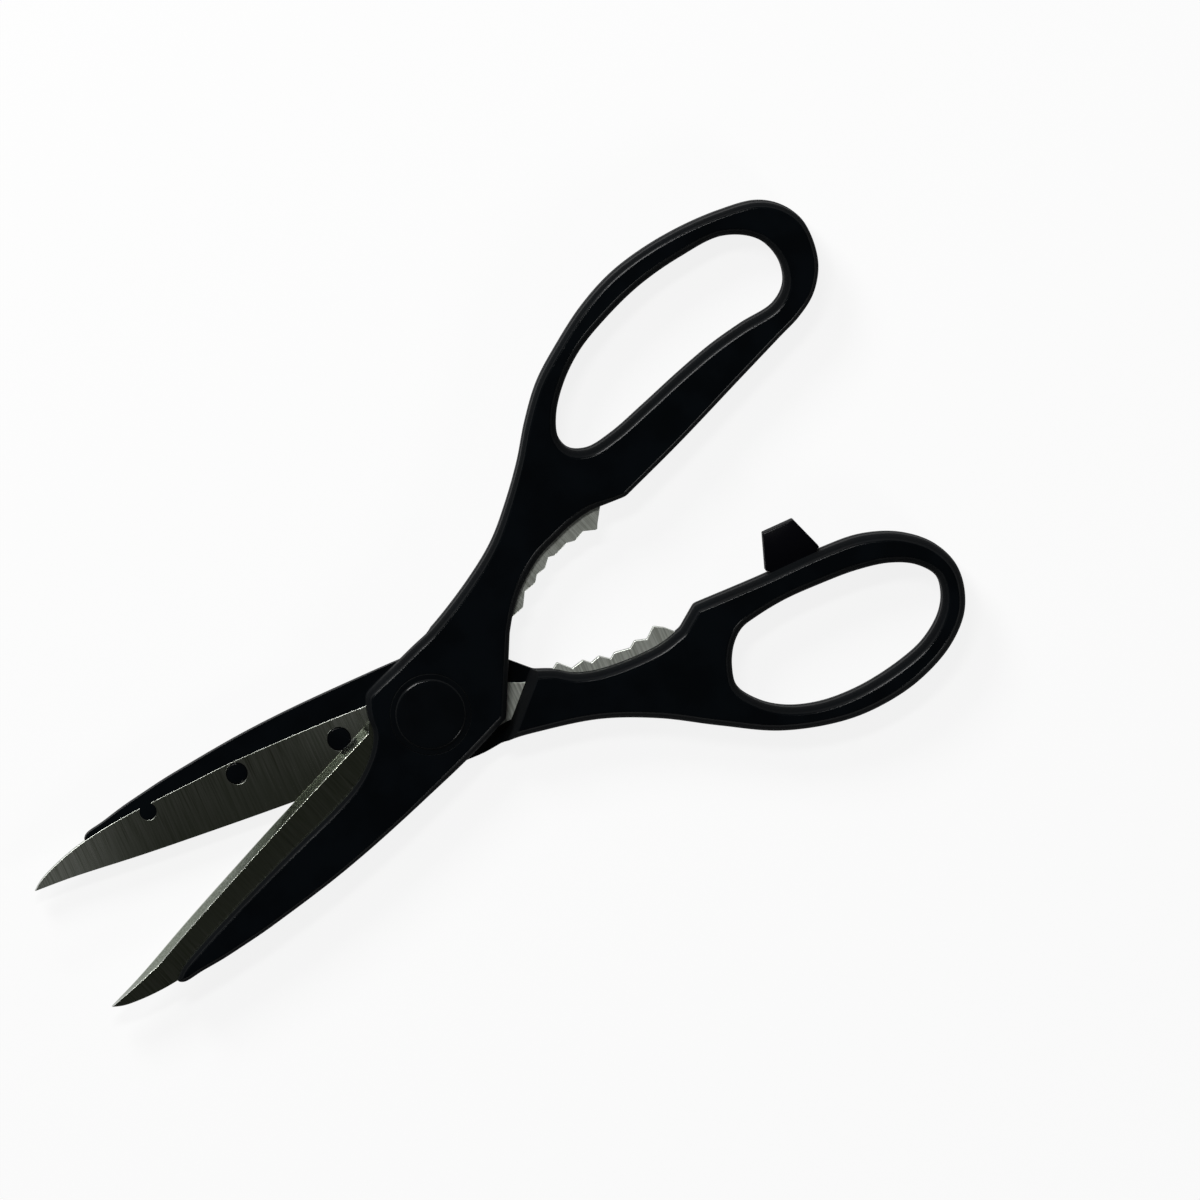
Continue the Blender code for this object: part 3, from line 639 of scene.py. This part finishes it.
def make_blade(half, material):
    """One blade: flat faces, a ground bevel up to the cutting edge, and every other edge broken."""
    line = crisp(blade_outline(half), BLADE_SPACING)
    edge = smooth(blade_points(EDGE_SHARES, -EDGE_OFFSET))
    heel = edge[-1, 0]
    x, y = line[:, 0], line[:, 1]
    bevel = BEVEL * ramp(x, -BLADE_REACH, TIP_TAPER - BLADE_REACH) * ramp(-x, -heel, BEVEL - heel)
    bevel = np.where((y < 0) & (x < heel), bevel, 0)
    points, faces = wall(np.stack([raised(inset(line, bevel), STEEL_BACK), raised(line, INNER_FACE)]))
    item = make_piece(half.name + "_ground_blade", points, faces.tolist())
    close_faces(item)
    carve(item, round_cutter((0.0, 0.0), SCREW_RADIUS + FIT))
    for centre, radius in zip(blade_points(PEG_SHARES, SPINE_OFFSET), PEG_HOLE_RADII):
        carve(item, round_cutter(centre, radius))
    break_edges(item, width=0.00010, segments=2, angle=35)
    finish_piece(item, half, material, sharp=12)
    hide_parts(half.name + "_blade")


def round_cutter(centre, radius):
    """A round block about a centre, which passes through both faces of the blade."""
    turns = np.linspace(0, 2 * math.pi, HOLE_SIDES, endpoint=False)
    line = np.array(centre) + radius * np.stack([np.cos(turns), np.sin(turns)], 1)
    return prism("hole", line, STEEL_BACK - FIT, INNER_FACE + FIT)


def break_edges(item, width, segments, angle):
    """Round every edge that turns by more than an angle, and keep the result as the piece's mesh."""
    modifier = item.modifiers.new("broken edges", "BEVEL")
    modifier.width = width
    modifier.segments = segments
    modifier.limit_method = "ANGLE"
    modifier.angle_limit = math.radians(angle)
    modifier.use_clamp_overlap = False
    modifier.miter_outer = "MITER_ARC"
    settle(item)


def make_pegs(half, material):
    """The moulded pegs that stand in the blade's holes, each with a slightly domed end."""
    turn = np.linspace(0, math.pi / 2, 6)
    top = INNER_FACE - FIT
    centres = blade_points(PEG_SHARES, SPINE_OFFSET)
    for number, (hole, centre) in enumerate(zip(PEG_HOLE_RADII, centres), 1):
        radius = hole - PEG_GAP
        rim = np.stack([
            radius - PEG_ROUND * (1 - np.cos(turn)), top - PEG_ROUND + PEG_ROUND * np.sin(turn)], 1)
        profile = [(0.0, PLATE - FIT), (radius, PLATE - FIT), *rim.tolist(), (0.0, top + PEG_CROWN)]
        item = make_piece(f"{half.name}_peg_{number}", *turned(profile, HOLE_SIDES, centre))
        finish_piece(item, half, material)


# Pivot caps and stop block

# A cap's raised disc, the rise of its middle, its rounded edge, the groove at its foot and its cut rim
CAP_DISC = 0.0069
CAP_CROWN = 0.00008
CAP_ROUND = 0.00042
CAP_ROUND_END = math.radians(80)
CAP_GROOVE = 0.0001
CAP_CUT = 0.00008

# The gap round the stop block in its seat, and the spans at a bow's end that make its inner rail
SOCKET_GAP = 0.0001
INNER_RAIL_SPANS = 5


def make_cap(name, half, proud, node, material):
    """A pivot cap: a faintly crowned raised disc with a rounded edge, a flange nearly flush with the hub
    round it, and a skirt that stands over the blade."""
    across = np.linspace(0, 1, 12)
    face = np.stack([CAP_DISC * across, -proud + CAP_CROWN * across ** 2], 1)
    turn = np.linspace(0, CAP_ROUND_END, 9)[1:]
    bend = np.stack([
        CAP_DISC + CAP_ROUND * np.sin(turn), -proud + CAP_CROWN + CAP_ROUND * (1 - np.cos(turn))], 1)
    foot = bend[-1] + (CAP_GROOVE, CAP_GROOVE)
    inner = CAP_RADIUS - CAP_WALL
    profile = [*face.tolist(), *bend.tolist(), foot.tolist(), (CAP_RADIUS - CAP_CUT, foot[1]),
               (CAP_RADIUS, foot[1] + CAP_CUT), (CAP_RADIUS, PLATE), (inner, PLATE), (inner, CAP_ROOF),
               (0.0, CAP_ROOF)]
    item = make_piece(name, *turned(profile, CAP_SIDES))
    finish_piece(item, half, material)
    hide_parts(node)


def stop_sizes():
    """The block's place along X, its rail there, its top, just clear of the other rail, and its seat."""
    length = FINGER_REACH - SHOULDER_START
    x = SHOULDER_START + STOP_PLACE_SHARE * length
    last = INNER_RAIL_SPANS * SPAN_STEPS
    rail = height_at(smooth(handle_points(FINGER, FINGER.bow))[-last:], x)
    other_rail = -height_at(smooth(handle_points(THUMB, THUMB.bow))[-last:], x)
    top = other_rail - x * math.sin(TIP_CROSSING) - STOP_GAP
    return x, rail, top, rail - STOP_SEAT


def make_stop_block(material):
    """The stop block, its edges broken, which stands in a seat in the finger handle's inner rail."""
    x, rail, top, seat = stop_sizes()
    root, foot, crest = STOP_ROOT_SHARE * STOP_FOOT / 2, STOP_FOOT / 2, STOP_TOP / 2
    line = np.array([
        (x - root, seat), (x + root, seat), (x + root, rail + FIT), (x + foot, rail + 2 * FIT),
        (x + crest, top), (x - crest, top), (x - foot, rail + 2 * FIT), (x - root, rail + FIT)])
    item = prism("stop_block_fine", line, (THICKNESS - STOP_WIDTH) / 2, (THICKNESS + STOP_WIDTH) / 2)
    break_edges(item, width=0.00022, segments=3, angle=30)
    finish_piece(item, FINGER, material)
    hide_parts("stop_block")


def stop_socket():
    """The room for the block's root: a box a small gap wider than it, from its seat to its top."""
    x, _, top, seat = stop_sizes()
    wide = STOP_ROOT_SHARE * STOP_FOOT / 2 + SOCKET_GAP
    floor = seat - SOCKET_GAP
    line = np.array([(x - wide, floor), (x + wide, floor), (x + wide, top), (x - wide, top)])
    half_width = STOP_WIDTH / 2 + SOCKET_GAP
    return prism("socket", line, THICKNESS / 2 - half_width, THICKNESS / 2 + half_width)


# Materials

# Colours
DUST = (0.12, 0.12, 0.11, 1)
# The steel's dark base, its olive tint a painted reflection of green surroundings, and the pale end that
# zones are painted towards, a painted highlight
DARK_STEEL_AND_PAINTED_REFLECTION = (0.195, 0.225, 0.150, 1)
STEEL_PAINTED_HIGHLIGHT = (0.86, 0.90, 0.82, 1)
# The sides' and bevel's paler colour, a painted reflection of what the slope faces
SIDE_PAINTED_REFLECTION = (0.22, 0.25, 0.21, 1)
LINE_DARK = (0.080, 0.093, 0.058, 1)
# Pale flecks on the fine grinding lines, painted glints
PAINTED_GLINT = (0.8, 0.8, 0.75, 1)
STRAY_MARK = (0.9, 0.9, 0.85, 1)
# Thin strips next to the faces painted pale, painted highlight lines along the edges
PAINTED_EDGE_HIGHLIGHT = (0.70, 0.72, 0.68, 1)
PLATING_STAINED = (0.50, 0.48, 0.42, 1)
PLATING_BRIGHT = (0.66, 0.66, 0.63, 1)

# Places along and across a blade between which the steel is painted paler, as painted highlights: towards the
# tip, the jaw, the hub and the spine
TIP_ZONE = (-0.058, -0.088)
JAW_ZONE = (0.000, 0.012)
HUB_ZONE = (-0.036, -0.012)
UPPER_ZONE = (-0.006, 0.008)

# Distances from a blade's faces between which its colour changes: the polished outer face, the sides and
# bevel painted paler as a painted reflection, the broken edges, and the strips next to the faces painted pale
# as highlight lines
POLISHED_ZONE = (0.0007, 0.0003)
SLOPING_ZONE = (0.00005, 0.00015)
BROKEN_ZONE = (0.000005, 0.00003)
LOW_EDGE_HIGHLIGHT_ZONE = (0.00022, 0.00012)
HIGH_EDGE_HIGHLIGHT_ZONE = (0.00030, 0.00016)

# How pale the steel is painted everywhere, and how much paler each zone is painted, as painted highlights
PALE_BASE = 0.08
PALE_HUB = 0.32
PALE_UPPER = 0.08
PALE_TIP = 0.52

# Grinding lines: their width and depth, and their strengths low and high on the blade, with the strengths of
# the painted glints on the fine lines and of stray marks
LINE_WIDTH = 0.00024
LINE_DEPTH = 0.0000025
LINE_STRENGTHS = (0.55, 0.85)
PAINTED_GLINT_STRENGTHS = (0.10, 0.20)
MARK_STRENGTH = 0.10

# Roughness: of steel, what pale places and lines add to it, and how wear changes that of plastic
STEEL_ROUGH = 0.15
PALE_ROUGHER = 0.20
LINES_ROUGHER = 0.05
WORN_SHARES = (1.12, 0.92)

# By its normal's height, where a rim turns away from the flat and where a side is upright, and what each
# adds to the roughness
RIM_TURN = (0.84, 0.62)
RIM_ROUGHER = 0.80
SIDE_TURN = (0.35, 0.05)
SIDE_ROUGHER = -0.30


def add(tree, kind, inputs=None, **settings):
    """Add a shader node with its settings, and feed each named input a value or another node's socket."""
    node = tree.nodes.new("ShaderNode" + kind)
    for name, value in settings.items():
        setattr(node, name, value)
    feed(tree, node, inputs or {})
    return node


def feed(tree, node, inputs):
    for name, value in inputs.items():
        if isinstance(value, bpy.types.NodeSocket):
            tree.links.new(value, node.inputs[name])
        else:
            node.inputs[name].default_value = value


def calculate(tree, operation, first, second=0.0, third=0.0):
    inputs = {0: first, 1: second}
    if operation == "MULTIPLY_ADD":
        inputs[2] = third
    return add(tree, "Math", inputs, operation=operation).outputs[0]


def between(tree, value, low, high, to_low=0.0, to_high=1.0):
    """A value carried from one range to another, eased at both ends and held beyond them."""
    inputs = {"Value": value, "From Min": low, "From Max": high, "To Min": to_low, "To Max": to_high}
    return add(tree, "MapRange", inputs, interpolation_type="SMOOTHSTEP").outputs["Result"]


def blend(tree, factor, first, second):
    node = add(tree, "Mix", {"Factor": factor}, data_type="RGBA")
    feed(tree, node, {6: first, 7: second})
    return node.outputs[2]


def new_group(name, inputs, outputs):
    """A shader node group with named sockets: inputs with their first values, and value outputs."""
    tree = bpy.data.node_groups.new(name, "ShaderNodeTree")
    for label, value in inputs.items():
        kind = "NodeSocketVector" if value is None else "NodeSocketFloat"
        socket = tree.interface.new_socket(label, in_out="INPUT", socket_type=kind)
        if value is not None:
            socket.default_value = value
    for label in outputs:
        tree.interface.new_socket(label, in_out="OUTPUT", socket_type="NodeSocketFloat")
    return tree, tree.nodes.new("NodeGroupInput").outputs, tree.nodes.new("NodeGroupOutput")


def make_grain_group():
    """The spark-eroded skin of a mould: small pits of a given size, and slow patches polished by use."""
    tree, given, result = new_group(
        "mould_grain", {"Place": None, "Pit Size": 0.0003}, ["Height", "Polish"])
    scale = calculate(tree, "DIVIDE", 1.0, given["Pit Size"])
    pits = add(tree, "TexVoronoi", {"Vector": given["Place"], "Scale": scale}, feature="SMOOTH_F1")
    finer = calculate(tree, "MULTIPLY", scale, 1.7)
    fine = add(tree, "TexNoise", {"Vector": given["Place"], "Scale": finer, "Detail": 2.0})
    height = calculate(tree, "MULTIPLY_ADD", fine.outputs["Fac"], 0.7, pits.outputs["Distance"])
    slow = add(tree, "TexNoise", {"Vector": given["Place"], "Scale": 90.0, "Detail": 3.0})
    feed(tree, result, {"Height": height, "Polish": between(tree, slow.outputs["Fac"], 0.35, 0.65)})
    return tree


def make_dust_group():
    """Sparse specks: a small disc in few of the cells of a fine net."""
    tree, given, result = new_group(
        "dust_specks", {"Place": None, "Spacing": 0.0012, "Share": 0.25}, ["Specks"])
    scale = calculate(tree, "DIVIDE", 1.0, given["Spacing"])
    cells = add(tree, "TexVoronoi", {"Vector": given["Place"], "Scale": scale})
    disc = between(tree, cells.outputs["Distance"], 0.10, 0.03)
    chosen = calculate(tree, "LESS_THAN", cells.outputs["Color"], given["Share"])
    feed(tree, result, {"Specks": calculate(tree, "MULTIPLY", disc, chosen)})
    return tree


def make_grinding_group():
    """Grinding lines across a blade: noise stretched along Y, in coarse and fine lines, with stray marks."""
    tree, given, result = new_group(
        "grinding_lines", {"Place": None, "Line Width": 0.0002}, ["Lines", "Fine Lines", "Marks"])
    scale = calculate(tree, "DIVIDE", 1.0, given["Line Width"])
    outputs = []
    for across, along, detail in ((0.55, 0.012, 2.0), (1.3, 0.03, 1.0)):
        stretch = add(tree, "Mapping", {"Vector": given["Place"], "Scale": (across, along, across)})
        noise = add(tree, "TexNoise", {"Vector": stretch.outputs[0], "Scale": scale, "Detail": detail})
        outputs.append(between(tree, noise.outputs["Fac"], 0.3, 0.7))
    turn = add(tree, "Mapping", {
        "Vector": given["Place"], "Rotation": (0.0, 0.0, 0.5), "Scale": (1.0, 0.02, 1.0)})
    wide = calculate(tree, "MULTIPLY", scale, 0.3)
    stray = add(tree, "TexNoise", {"Vector": turn.outputs[0], "Scale": wide})
    feed(tree, result, {"Lines": outputs[0], "Fine Lines": outputs[1],
                        "Marks": between(tree, stray.outputs["Fac"], 0.64, 0.70)})
    return tree


def new_material(name):
    material = bpy.data.materials.new(name)
    material.use_nodes = True
    tree = material.node_tree
    return material, tree, tree.nodes["Principled BSDF"], add(tree, "TexCoord").outputs["Object"]


def make_plastic(name, groups, colour, rough, pit, depth, specular, dust):
    """Dark plastic: a grain of pits of one size and depth, patches polished by use and a few specks of dust,
    satin on the flat faces and matt on the sides between them."""
    material, tree, shader, place = new_material(name)
    grain = add(tree, "Group", node_tree=groups["grain"])
    feed(tree, grain, {"Place": place, "Pit Size": pit})
    specks = add(tree, "Group", node_tree=groups["dust"])
    feed(tree, specks, {"Place": place, "Share": dust})
    dull = tuple(1.5 * part for part in colour)
    base = blend(tree, grain.outputs["Polish"], (*dull, 1), (*colour, 1))
    base = blend(tree, specks.outputs[0], base, DUST)
    worn = between(tree, grain.outputs["Polish"], 0.0, 1.0, *(share * rough for share in WORN_SHARES))
    bump = add(tree, "Bump", {"Height": grain.outputs["Height"], "Distance": depth, "Strength": 1.0})
    feed(tree, shader, {
        "Base Color": base, "Roughness": rough_sides(tree, worn), "Specular IOR Level": specular,
        "Normal": bump.outputs[0]})
    return material


def rough_sides(tree, rough):
    """The roughness, raised on the rims, which turn away from the flat faces, and less on upright sides."""
    normal = add(tree, "TexCoord").outputs["Normal"]
    upright = calculate(tree, "ABSOLUTE", add(tree, "SeparateXYZ", {0: normal}).outputs["Z"])
    rim = calculate(tree, "MULTIPLY_ADD", between(tree, upright, *RIM_TURN), RIM_ROUGHER, rough)
    return calculate(tree, "MULTIPLY_ADD", between(tree, upright, *SIDE_TURN), SIDE_ROUGHER, rim)


def make_steel(name, half, groups):
    """Blade steel, laid along its half: the outer face polished and left at the dark base, the inner face
    ground across and painted paler at the tip, the jaw, the hub and towards the spine as painted highlights,
    the sides and bevel painted paler as a painted reflection, pale painted glints on the fine lines, and thin
    strips next to the faces painted pale as highlight lines."""
    material, tree, shader, place = new_material(name)
    if half is THUMB:
        turn = add(tree, "Mapping", {"Vector": place, "Location": (0, 0, THICKNESS),
                                     "Rotation": (0, 0, OPEN_ANGLE), "Scale": (1, -1, -1)})
        place = turn.outputs[0]
    grinding = add(tree, "Group", node_tree=groups["grinding"])
    feed(tree, grinding, {"Place": place, "Line Width": LINE_WIDTH})
    lines, fine, marks = (grinding.outputs[label] for label in ("Lines", "Fine Lines", "Marks"))
    axes = add(tree, "SeparateXYZ", {0: place}).outputs

    def above(zone):
        return between(tree, axes["Z"], STEEL_BACK + zone[0], STEEL_BACK + zone[1])

    def below(zone):
        return between(tree, axes["Z"], INNER_FACE - zone[0], INNER_FACE - zone[1])

    # Zones painted paler, painted highlights: the tip, the jaw, the hub and towards the spine
    tip = between(tree, axes["X"], *TIP_ZONE)
    jaw = between(tree, axes["X"], *JAW_ZONE)
    hub = between(tree, axes["X"], *HUB_ZONE)
    upper = between(tree, axes["Y"], *UPPER_ZONE)
    # The polished outer face takes none of the painted highlights and stays at the dark base
    polished = above(POLISHED_ZONE)
    sloping = calculate(tree, "MULTIPLY", above(SLOPING_ZONE), below(SLOPING_ZONE))
    broken = calculate(tree, "MULTIPLY", above(BROKEN_ZONE), below(BROKEN_ZONE))
    # Thin strips next to either face, off the faces themselves, painted pale as highlight lines
    strips = calculate(tree, "MAXIMUM", above(LOW_EDGE_HIGHLIGHT_ZONE), below(HIGH_EDGE_HIGHLIGHT_ZONE))
    edge_highlight = calculate(tree, "MULTIPLY", broken, strips)
    inner = calculate(tree, "SUBTRACT", 1.0, polished)
    # How pale the steel is painted here: painted highlights, none on the outer face, full at the jaw
    shade = calculate(tree, "MULTIPLY_ADD", calculate(tree, "MULTIPLY", hub, upper), PALE_HUB, PALE_BASE)
    shade = calculate(tree, "MULTIPLY_ADD", upper, PALE_UPPER, shade)
    shade = calculate(tree, "MULTIPLY_ADD", tip, PALE_TIP, shade)
    shade = calculate(tree, "MULTIPLY", shade, inner)
    shade = calculate(tree, "MAXIMUM", shade, jaw)
    ground = blend(tree, shade, DARK_STEEL_AND_PAINTED_REFLECTION, STEEL_PAINTED_HIGHLIGHT)
    # The sides and the bevel painted paler, a painted reflection
    ground = blend(tree, sloping, ground, SIDE_PAINTED_REFLECTION)
    depth = between(tree, axes["Y"], *UPPER_ZONE, *LINE_STRENGTHS)
    ground = blend(tree, calculate(tree, "MULTIPLY", lines, depth), ground, LINE_DARK)
    # Pale flecks along the fine lines, painted glints, stronger towards the spine
    painted_glint = between(tree, axes["Y"], *UPPER_ZONE, *PAINTED_GLINT_STRENGTHS)
    ground = blend(tree, calculate(tree, "MULTIPLY", fine, painted_glint), ground, PAINTED_GLINT)
    ground = blend(tree, calculate(tree, "MULTIPLY", marks, MARK_STRENGTH), ground, STRAY_MARK)
    # The edge strips painted pale: painted highlight lines
    ground = blend(tree, edge_highlight, ground, PAINTED_EDGE_HIGHLIGHT)
    rough = calculate(tree, "MULTIPLY_ADD", lines, LINES_ROUGHER, STEEL_ROUGH)
    rough = calculate(tree, "MULTIPLY_ADD", shade, PALE_ROUGHER, rough)
    bump = add(tree, "Bump", {"Height": calculate(tree, "ADD", lines, fine), "Distance": LINE_DEPTH})
    feed(tree, shader, {"Base Color": ground, "Roughness": rough, "Metallic": 1.0, "Normal": bump.outputs[0]})
    return material


def make_plated(name, groups):
    """Bright plating on the hidden screw, nut and washers, with a fine grain and faint stains."""
    material, tree, shader, place = new_material(name)
    grain = add(tree, "Group", node_tree=groups["grain"])
    feed(tree, grain, {"Place": place, "Pit Size": 0.00015})
    base = blend(tree, grain.outputs["Polish"], PLATING_STAINED, PLATING_BRIGHT)
    bump = add(tree, "Bump", {"Height": grain.outputs["Height"], "Distance": 0.000003})
    feed(tree, shader, {
        "Base Color": base, "Metallic": 1.0, "Normal": bump.outputs[0],
        "Roughness": between(tree, grain.outputs["Polish"], 0.0, 1.0, 0.36, 0.24)})
    return material


# Camera, floor and light

# The picture's width and the pivot's place on it in pixels, the metres in a pixel, how far the object is
# turned in the picture, and how far and which way the camera leans from upright
PICTURE = 1200
PIVOT_ACROSS = 430.4
PIVOT_DOWN = 714.2
PIXEL = 0.00021
ROLL = math.radians(24.3)
LEAN = 0.1
LEAN_RIGHT = -0.55
LEAN_UP = 0.83
AIM_HEIGHT = 0.012
CAMERA_DISTANCE = 8.0
SENSOR = 36

# The floor's half width, its drop below the object, how much of it glows, and the room's grey
FLOOR_HALF = 3
FLOOR_DROP = 0.0002
FLOOR_GLOW = 0.86
ROOM_LEVEL = 0.04

# Each lamp's azimuth as the picture shows it and slant from upright, both in degrees, distance, size, power
LAMPS = {
    "key": (125, 56, 1.3, (0.4, 0.4), 12),
    "strip": (116, 28, 1.4, (0.5, 0.12), 7),
    "fill": (-40, 62, 1.3, (0.3, 0.3), 3)}
LAMPS_AIM = (0.02, 0.01, 0.006)


def make_camera():
    """A long lens over the scissors, tilted a little and rolled as in the photograph."""
    c, s = math.cos(ROLL), math.sin(ROLL)
    right, up = np.array([c, -s, 0]), np.array([s, c, 0])
    middle = PICTURE / 2
    centre = (middle - PIVOT_ACROSS) * PIXEL * right + (PIVOT_DOWN - middle) * PIXEL * up + (0, 0, AIM_HEIGHT)
    back = LEAN * (LEAN_RIGHT * right + LEAN_UP * up) / math.hypot(LEAN_RIGHT, LEAN_UP) + (0, 0, 1)
    back /= np.linalg.norm(back)
    data = bpy.data.cameras.new("camera")
    data.sensor_width = SENSOR
    data.lens = SENSOR * CAMERA_DISTANCE / (PICTURE * PIXEL)
    data.clip_start, data.clip_end = 1, 40
    camera = bpy.data.objects.new("camera", data)
    bpy.context.scene.collection.objects.link(camera)
    camera.location = centre + back * CAMERA_DISTANCE
    side = np.cross(up, back)
    side /= np.linalg.norm(side)
    above = np.cross(back, side)
    turn = np.eye(4)
    turn[:3, 0], turn[:3, 1], turn[:3, 2], turn[:3, 3] = side, above, back, camera.location
    camera.matrix_world = Matrix(turn.tolist())
    bpy.context.scene.camera = camera
    return right, up


def seen_directly(tree, *kinds):
    """One where the ray is any of the kinds, such as a camera or a glossy ray."""
    paths = add(tree, "LightPath").outputs
    total = paths[kinds[0]]
    for kind in kinds[1:]:
        total = calculate(tree, "MAXIMUM", total, paths[kind])
    return total


def make_floor():
    corners = [(x * FLOOR_HALF, y * FLOOR_HALF, -FLOOR_DROP) for x, y in ((-1, -1), (1, -1), (1, 1), (-1, 1))]
    floor = make_piece("floor", corners, [(0, 1, 2, 3)])
    material, tree, shader, _ = new_material("pale_floor")
    feed(tree, shader, {"Base Color": (0.93, 0.93, 0.93, 1), "Roughness": 0.9, "Specular IOR Level": 0.0})
    seen = seen_directly(tree, "Is Camera Ray", "Is Glossy Ray", "Is Transmission Ray")
    glow = add(tree, "Emission", {"Strength": 1.0})
    share = calculate(tree, "MULTIPLY", seen, FLOOR_GLOW)
    mix = add(tree, "MixShader", {0: share, 1: shader.outputs[0], 2: glow.outputs[0]})
    tree.links.new(mix.outputs[0], tree.nodes["Material Output"].inputs["Surface"])
    floor.data.materials.append(material)


def make_surroundings():
    """A dim room whose walls are white low down, and which is white behind whatever the camera sees."""
    world = bpy.data.worlds.new("studio")
    world.use_nodes = True
    tree = world.node_tree
    height = add(tree, "SeparateXYZ", {0: add(tree, "TexCoord").outputs["Generated"]}).outputs["Z"]
    low = between(tree, height, 0.16, 0.02)
    glossy = calculate(tree, "MULTIPLY", seen_directly(tree, "Is Glossy Ray", "Is Transmission Ray"), low)
    white = calculate(tree, "MAXIMUM", seen_directly(tree, "Is Camera Ray"), glossy)
    room = (ROOM_LEVEL, ROOM_LEVEL, ROOM_LEVEL, 1)
    feed(tree, tree.nodes["Background"], {"Color": blend(tree, white, room, (1, 1, 1, 1))})
    bpy.context.scene.world = world


def make_light(name, direction, distance, size, power):
    data = bpy.data.lights.new(name, "AREA")
    data.shape = "RECTANGLE"
    data.size, data.size_y = size
    data.energy = power
    light = bpy.data.objects.new(name, data)
    bpy.context.scene.collection.objects.link(light)
    direction = Vector(direction).normalized()
    light.location = Vector(LAMPS_AIM) + direction * distance
    light.rotation_mode = "QUATERNION"
    light.rotation_quaternion = direction.to_track_quat("Z", "Y")


def lamp_direction(right, up, azimuth, slant):
    """The direction at a slant from the vertical, towards an azimuth as the picture shows it."""
    azimuth, slant = math.radians(azimuth), math.radians(slant)
    sideways = math.cos(azimuth) * right + math.sin(azimuth) * up
    return sideways * math.sin(slant) + (0, 0, math.cos(slant))


def make_lights(right, up):
    for name, (azimuth, slant, distance, size, power) in LAMPS.items():
        make_light(name, lamp_direction(right, up, azimuth, slant), distance, size, power)


def main():
    right, up = make_camera()
    groups = {"grain": make_grain_group(), "dust": make_dust_group(), "grinding": make_grinding_group()}
    plastic = make_plastic(
        "moulded_black", groups, colour=(0.0012, 0.0018, 0.0024), rough=0.16, pit=0.00028, depth=0.000010,
        specular=0.12, dust=0.02)
    cap_plastic = make_plastic(
        "cap_black", groups, colour=(0.0011, 0.0016, 0.0021), rough=0.15, pit=0.00020, depth=0.000003,
        specular=0.20, dust=0.01)
    rubber = make_plastic(
        "stop_black", groups, colour=(0.0010, 0.0010, 0.0016), rough=0.20, pit=0.00022, depth=0.000007,
        specular=0.09, dust=0.01)
    screw = make_plated("plated_steel", groups)
    for half in (FINGER, THUMB):
        make_handle(half, plastic)
        make_blade(half, make_steel(half.name + "_blade_steel", half, groups))
        make_pegs(half, plastic)
    make_cap("front_cap", THUMB, CAP_PROUD, "front_pivot_cap", cap_plastic)
    make_cap("back_cap", FINGER, 0.0, "back_pivot_cap", cap_plastic)
    make_stop_block(rubber)
    for node in ("pivot_screw", "pivot_nut", "pivot_washer", "spring_washer"):
        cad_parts[node].material_slots[0].material = screw
    make_floor()
    make_surroundings()
    make_lights(right, up)
    bpy.context.scene.view_settings.view_transform = "Standard"


main()
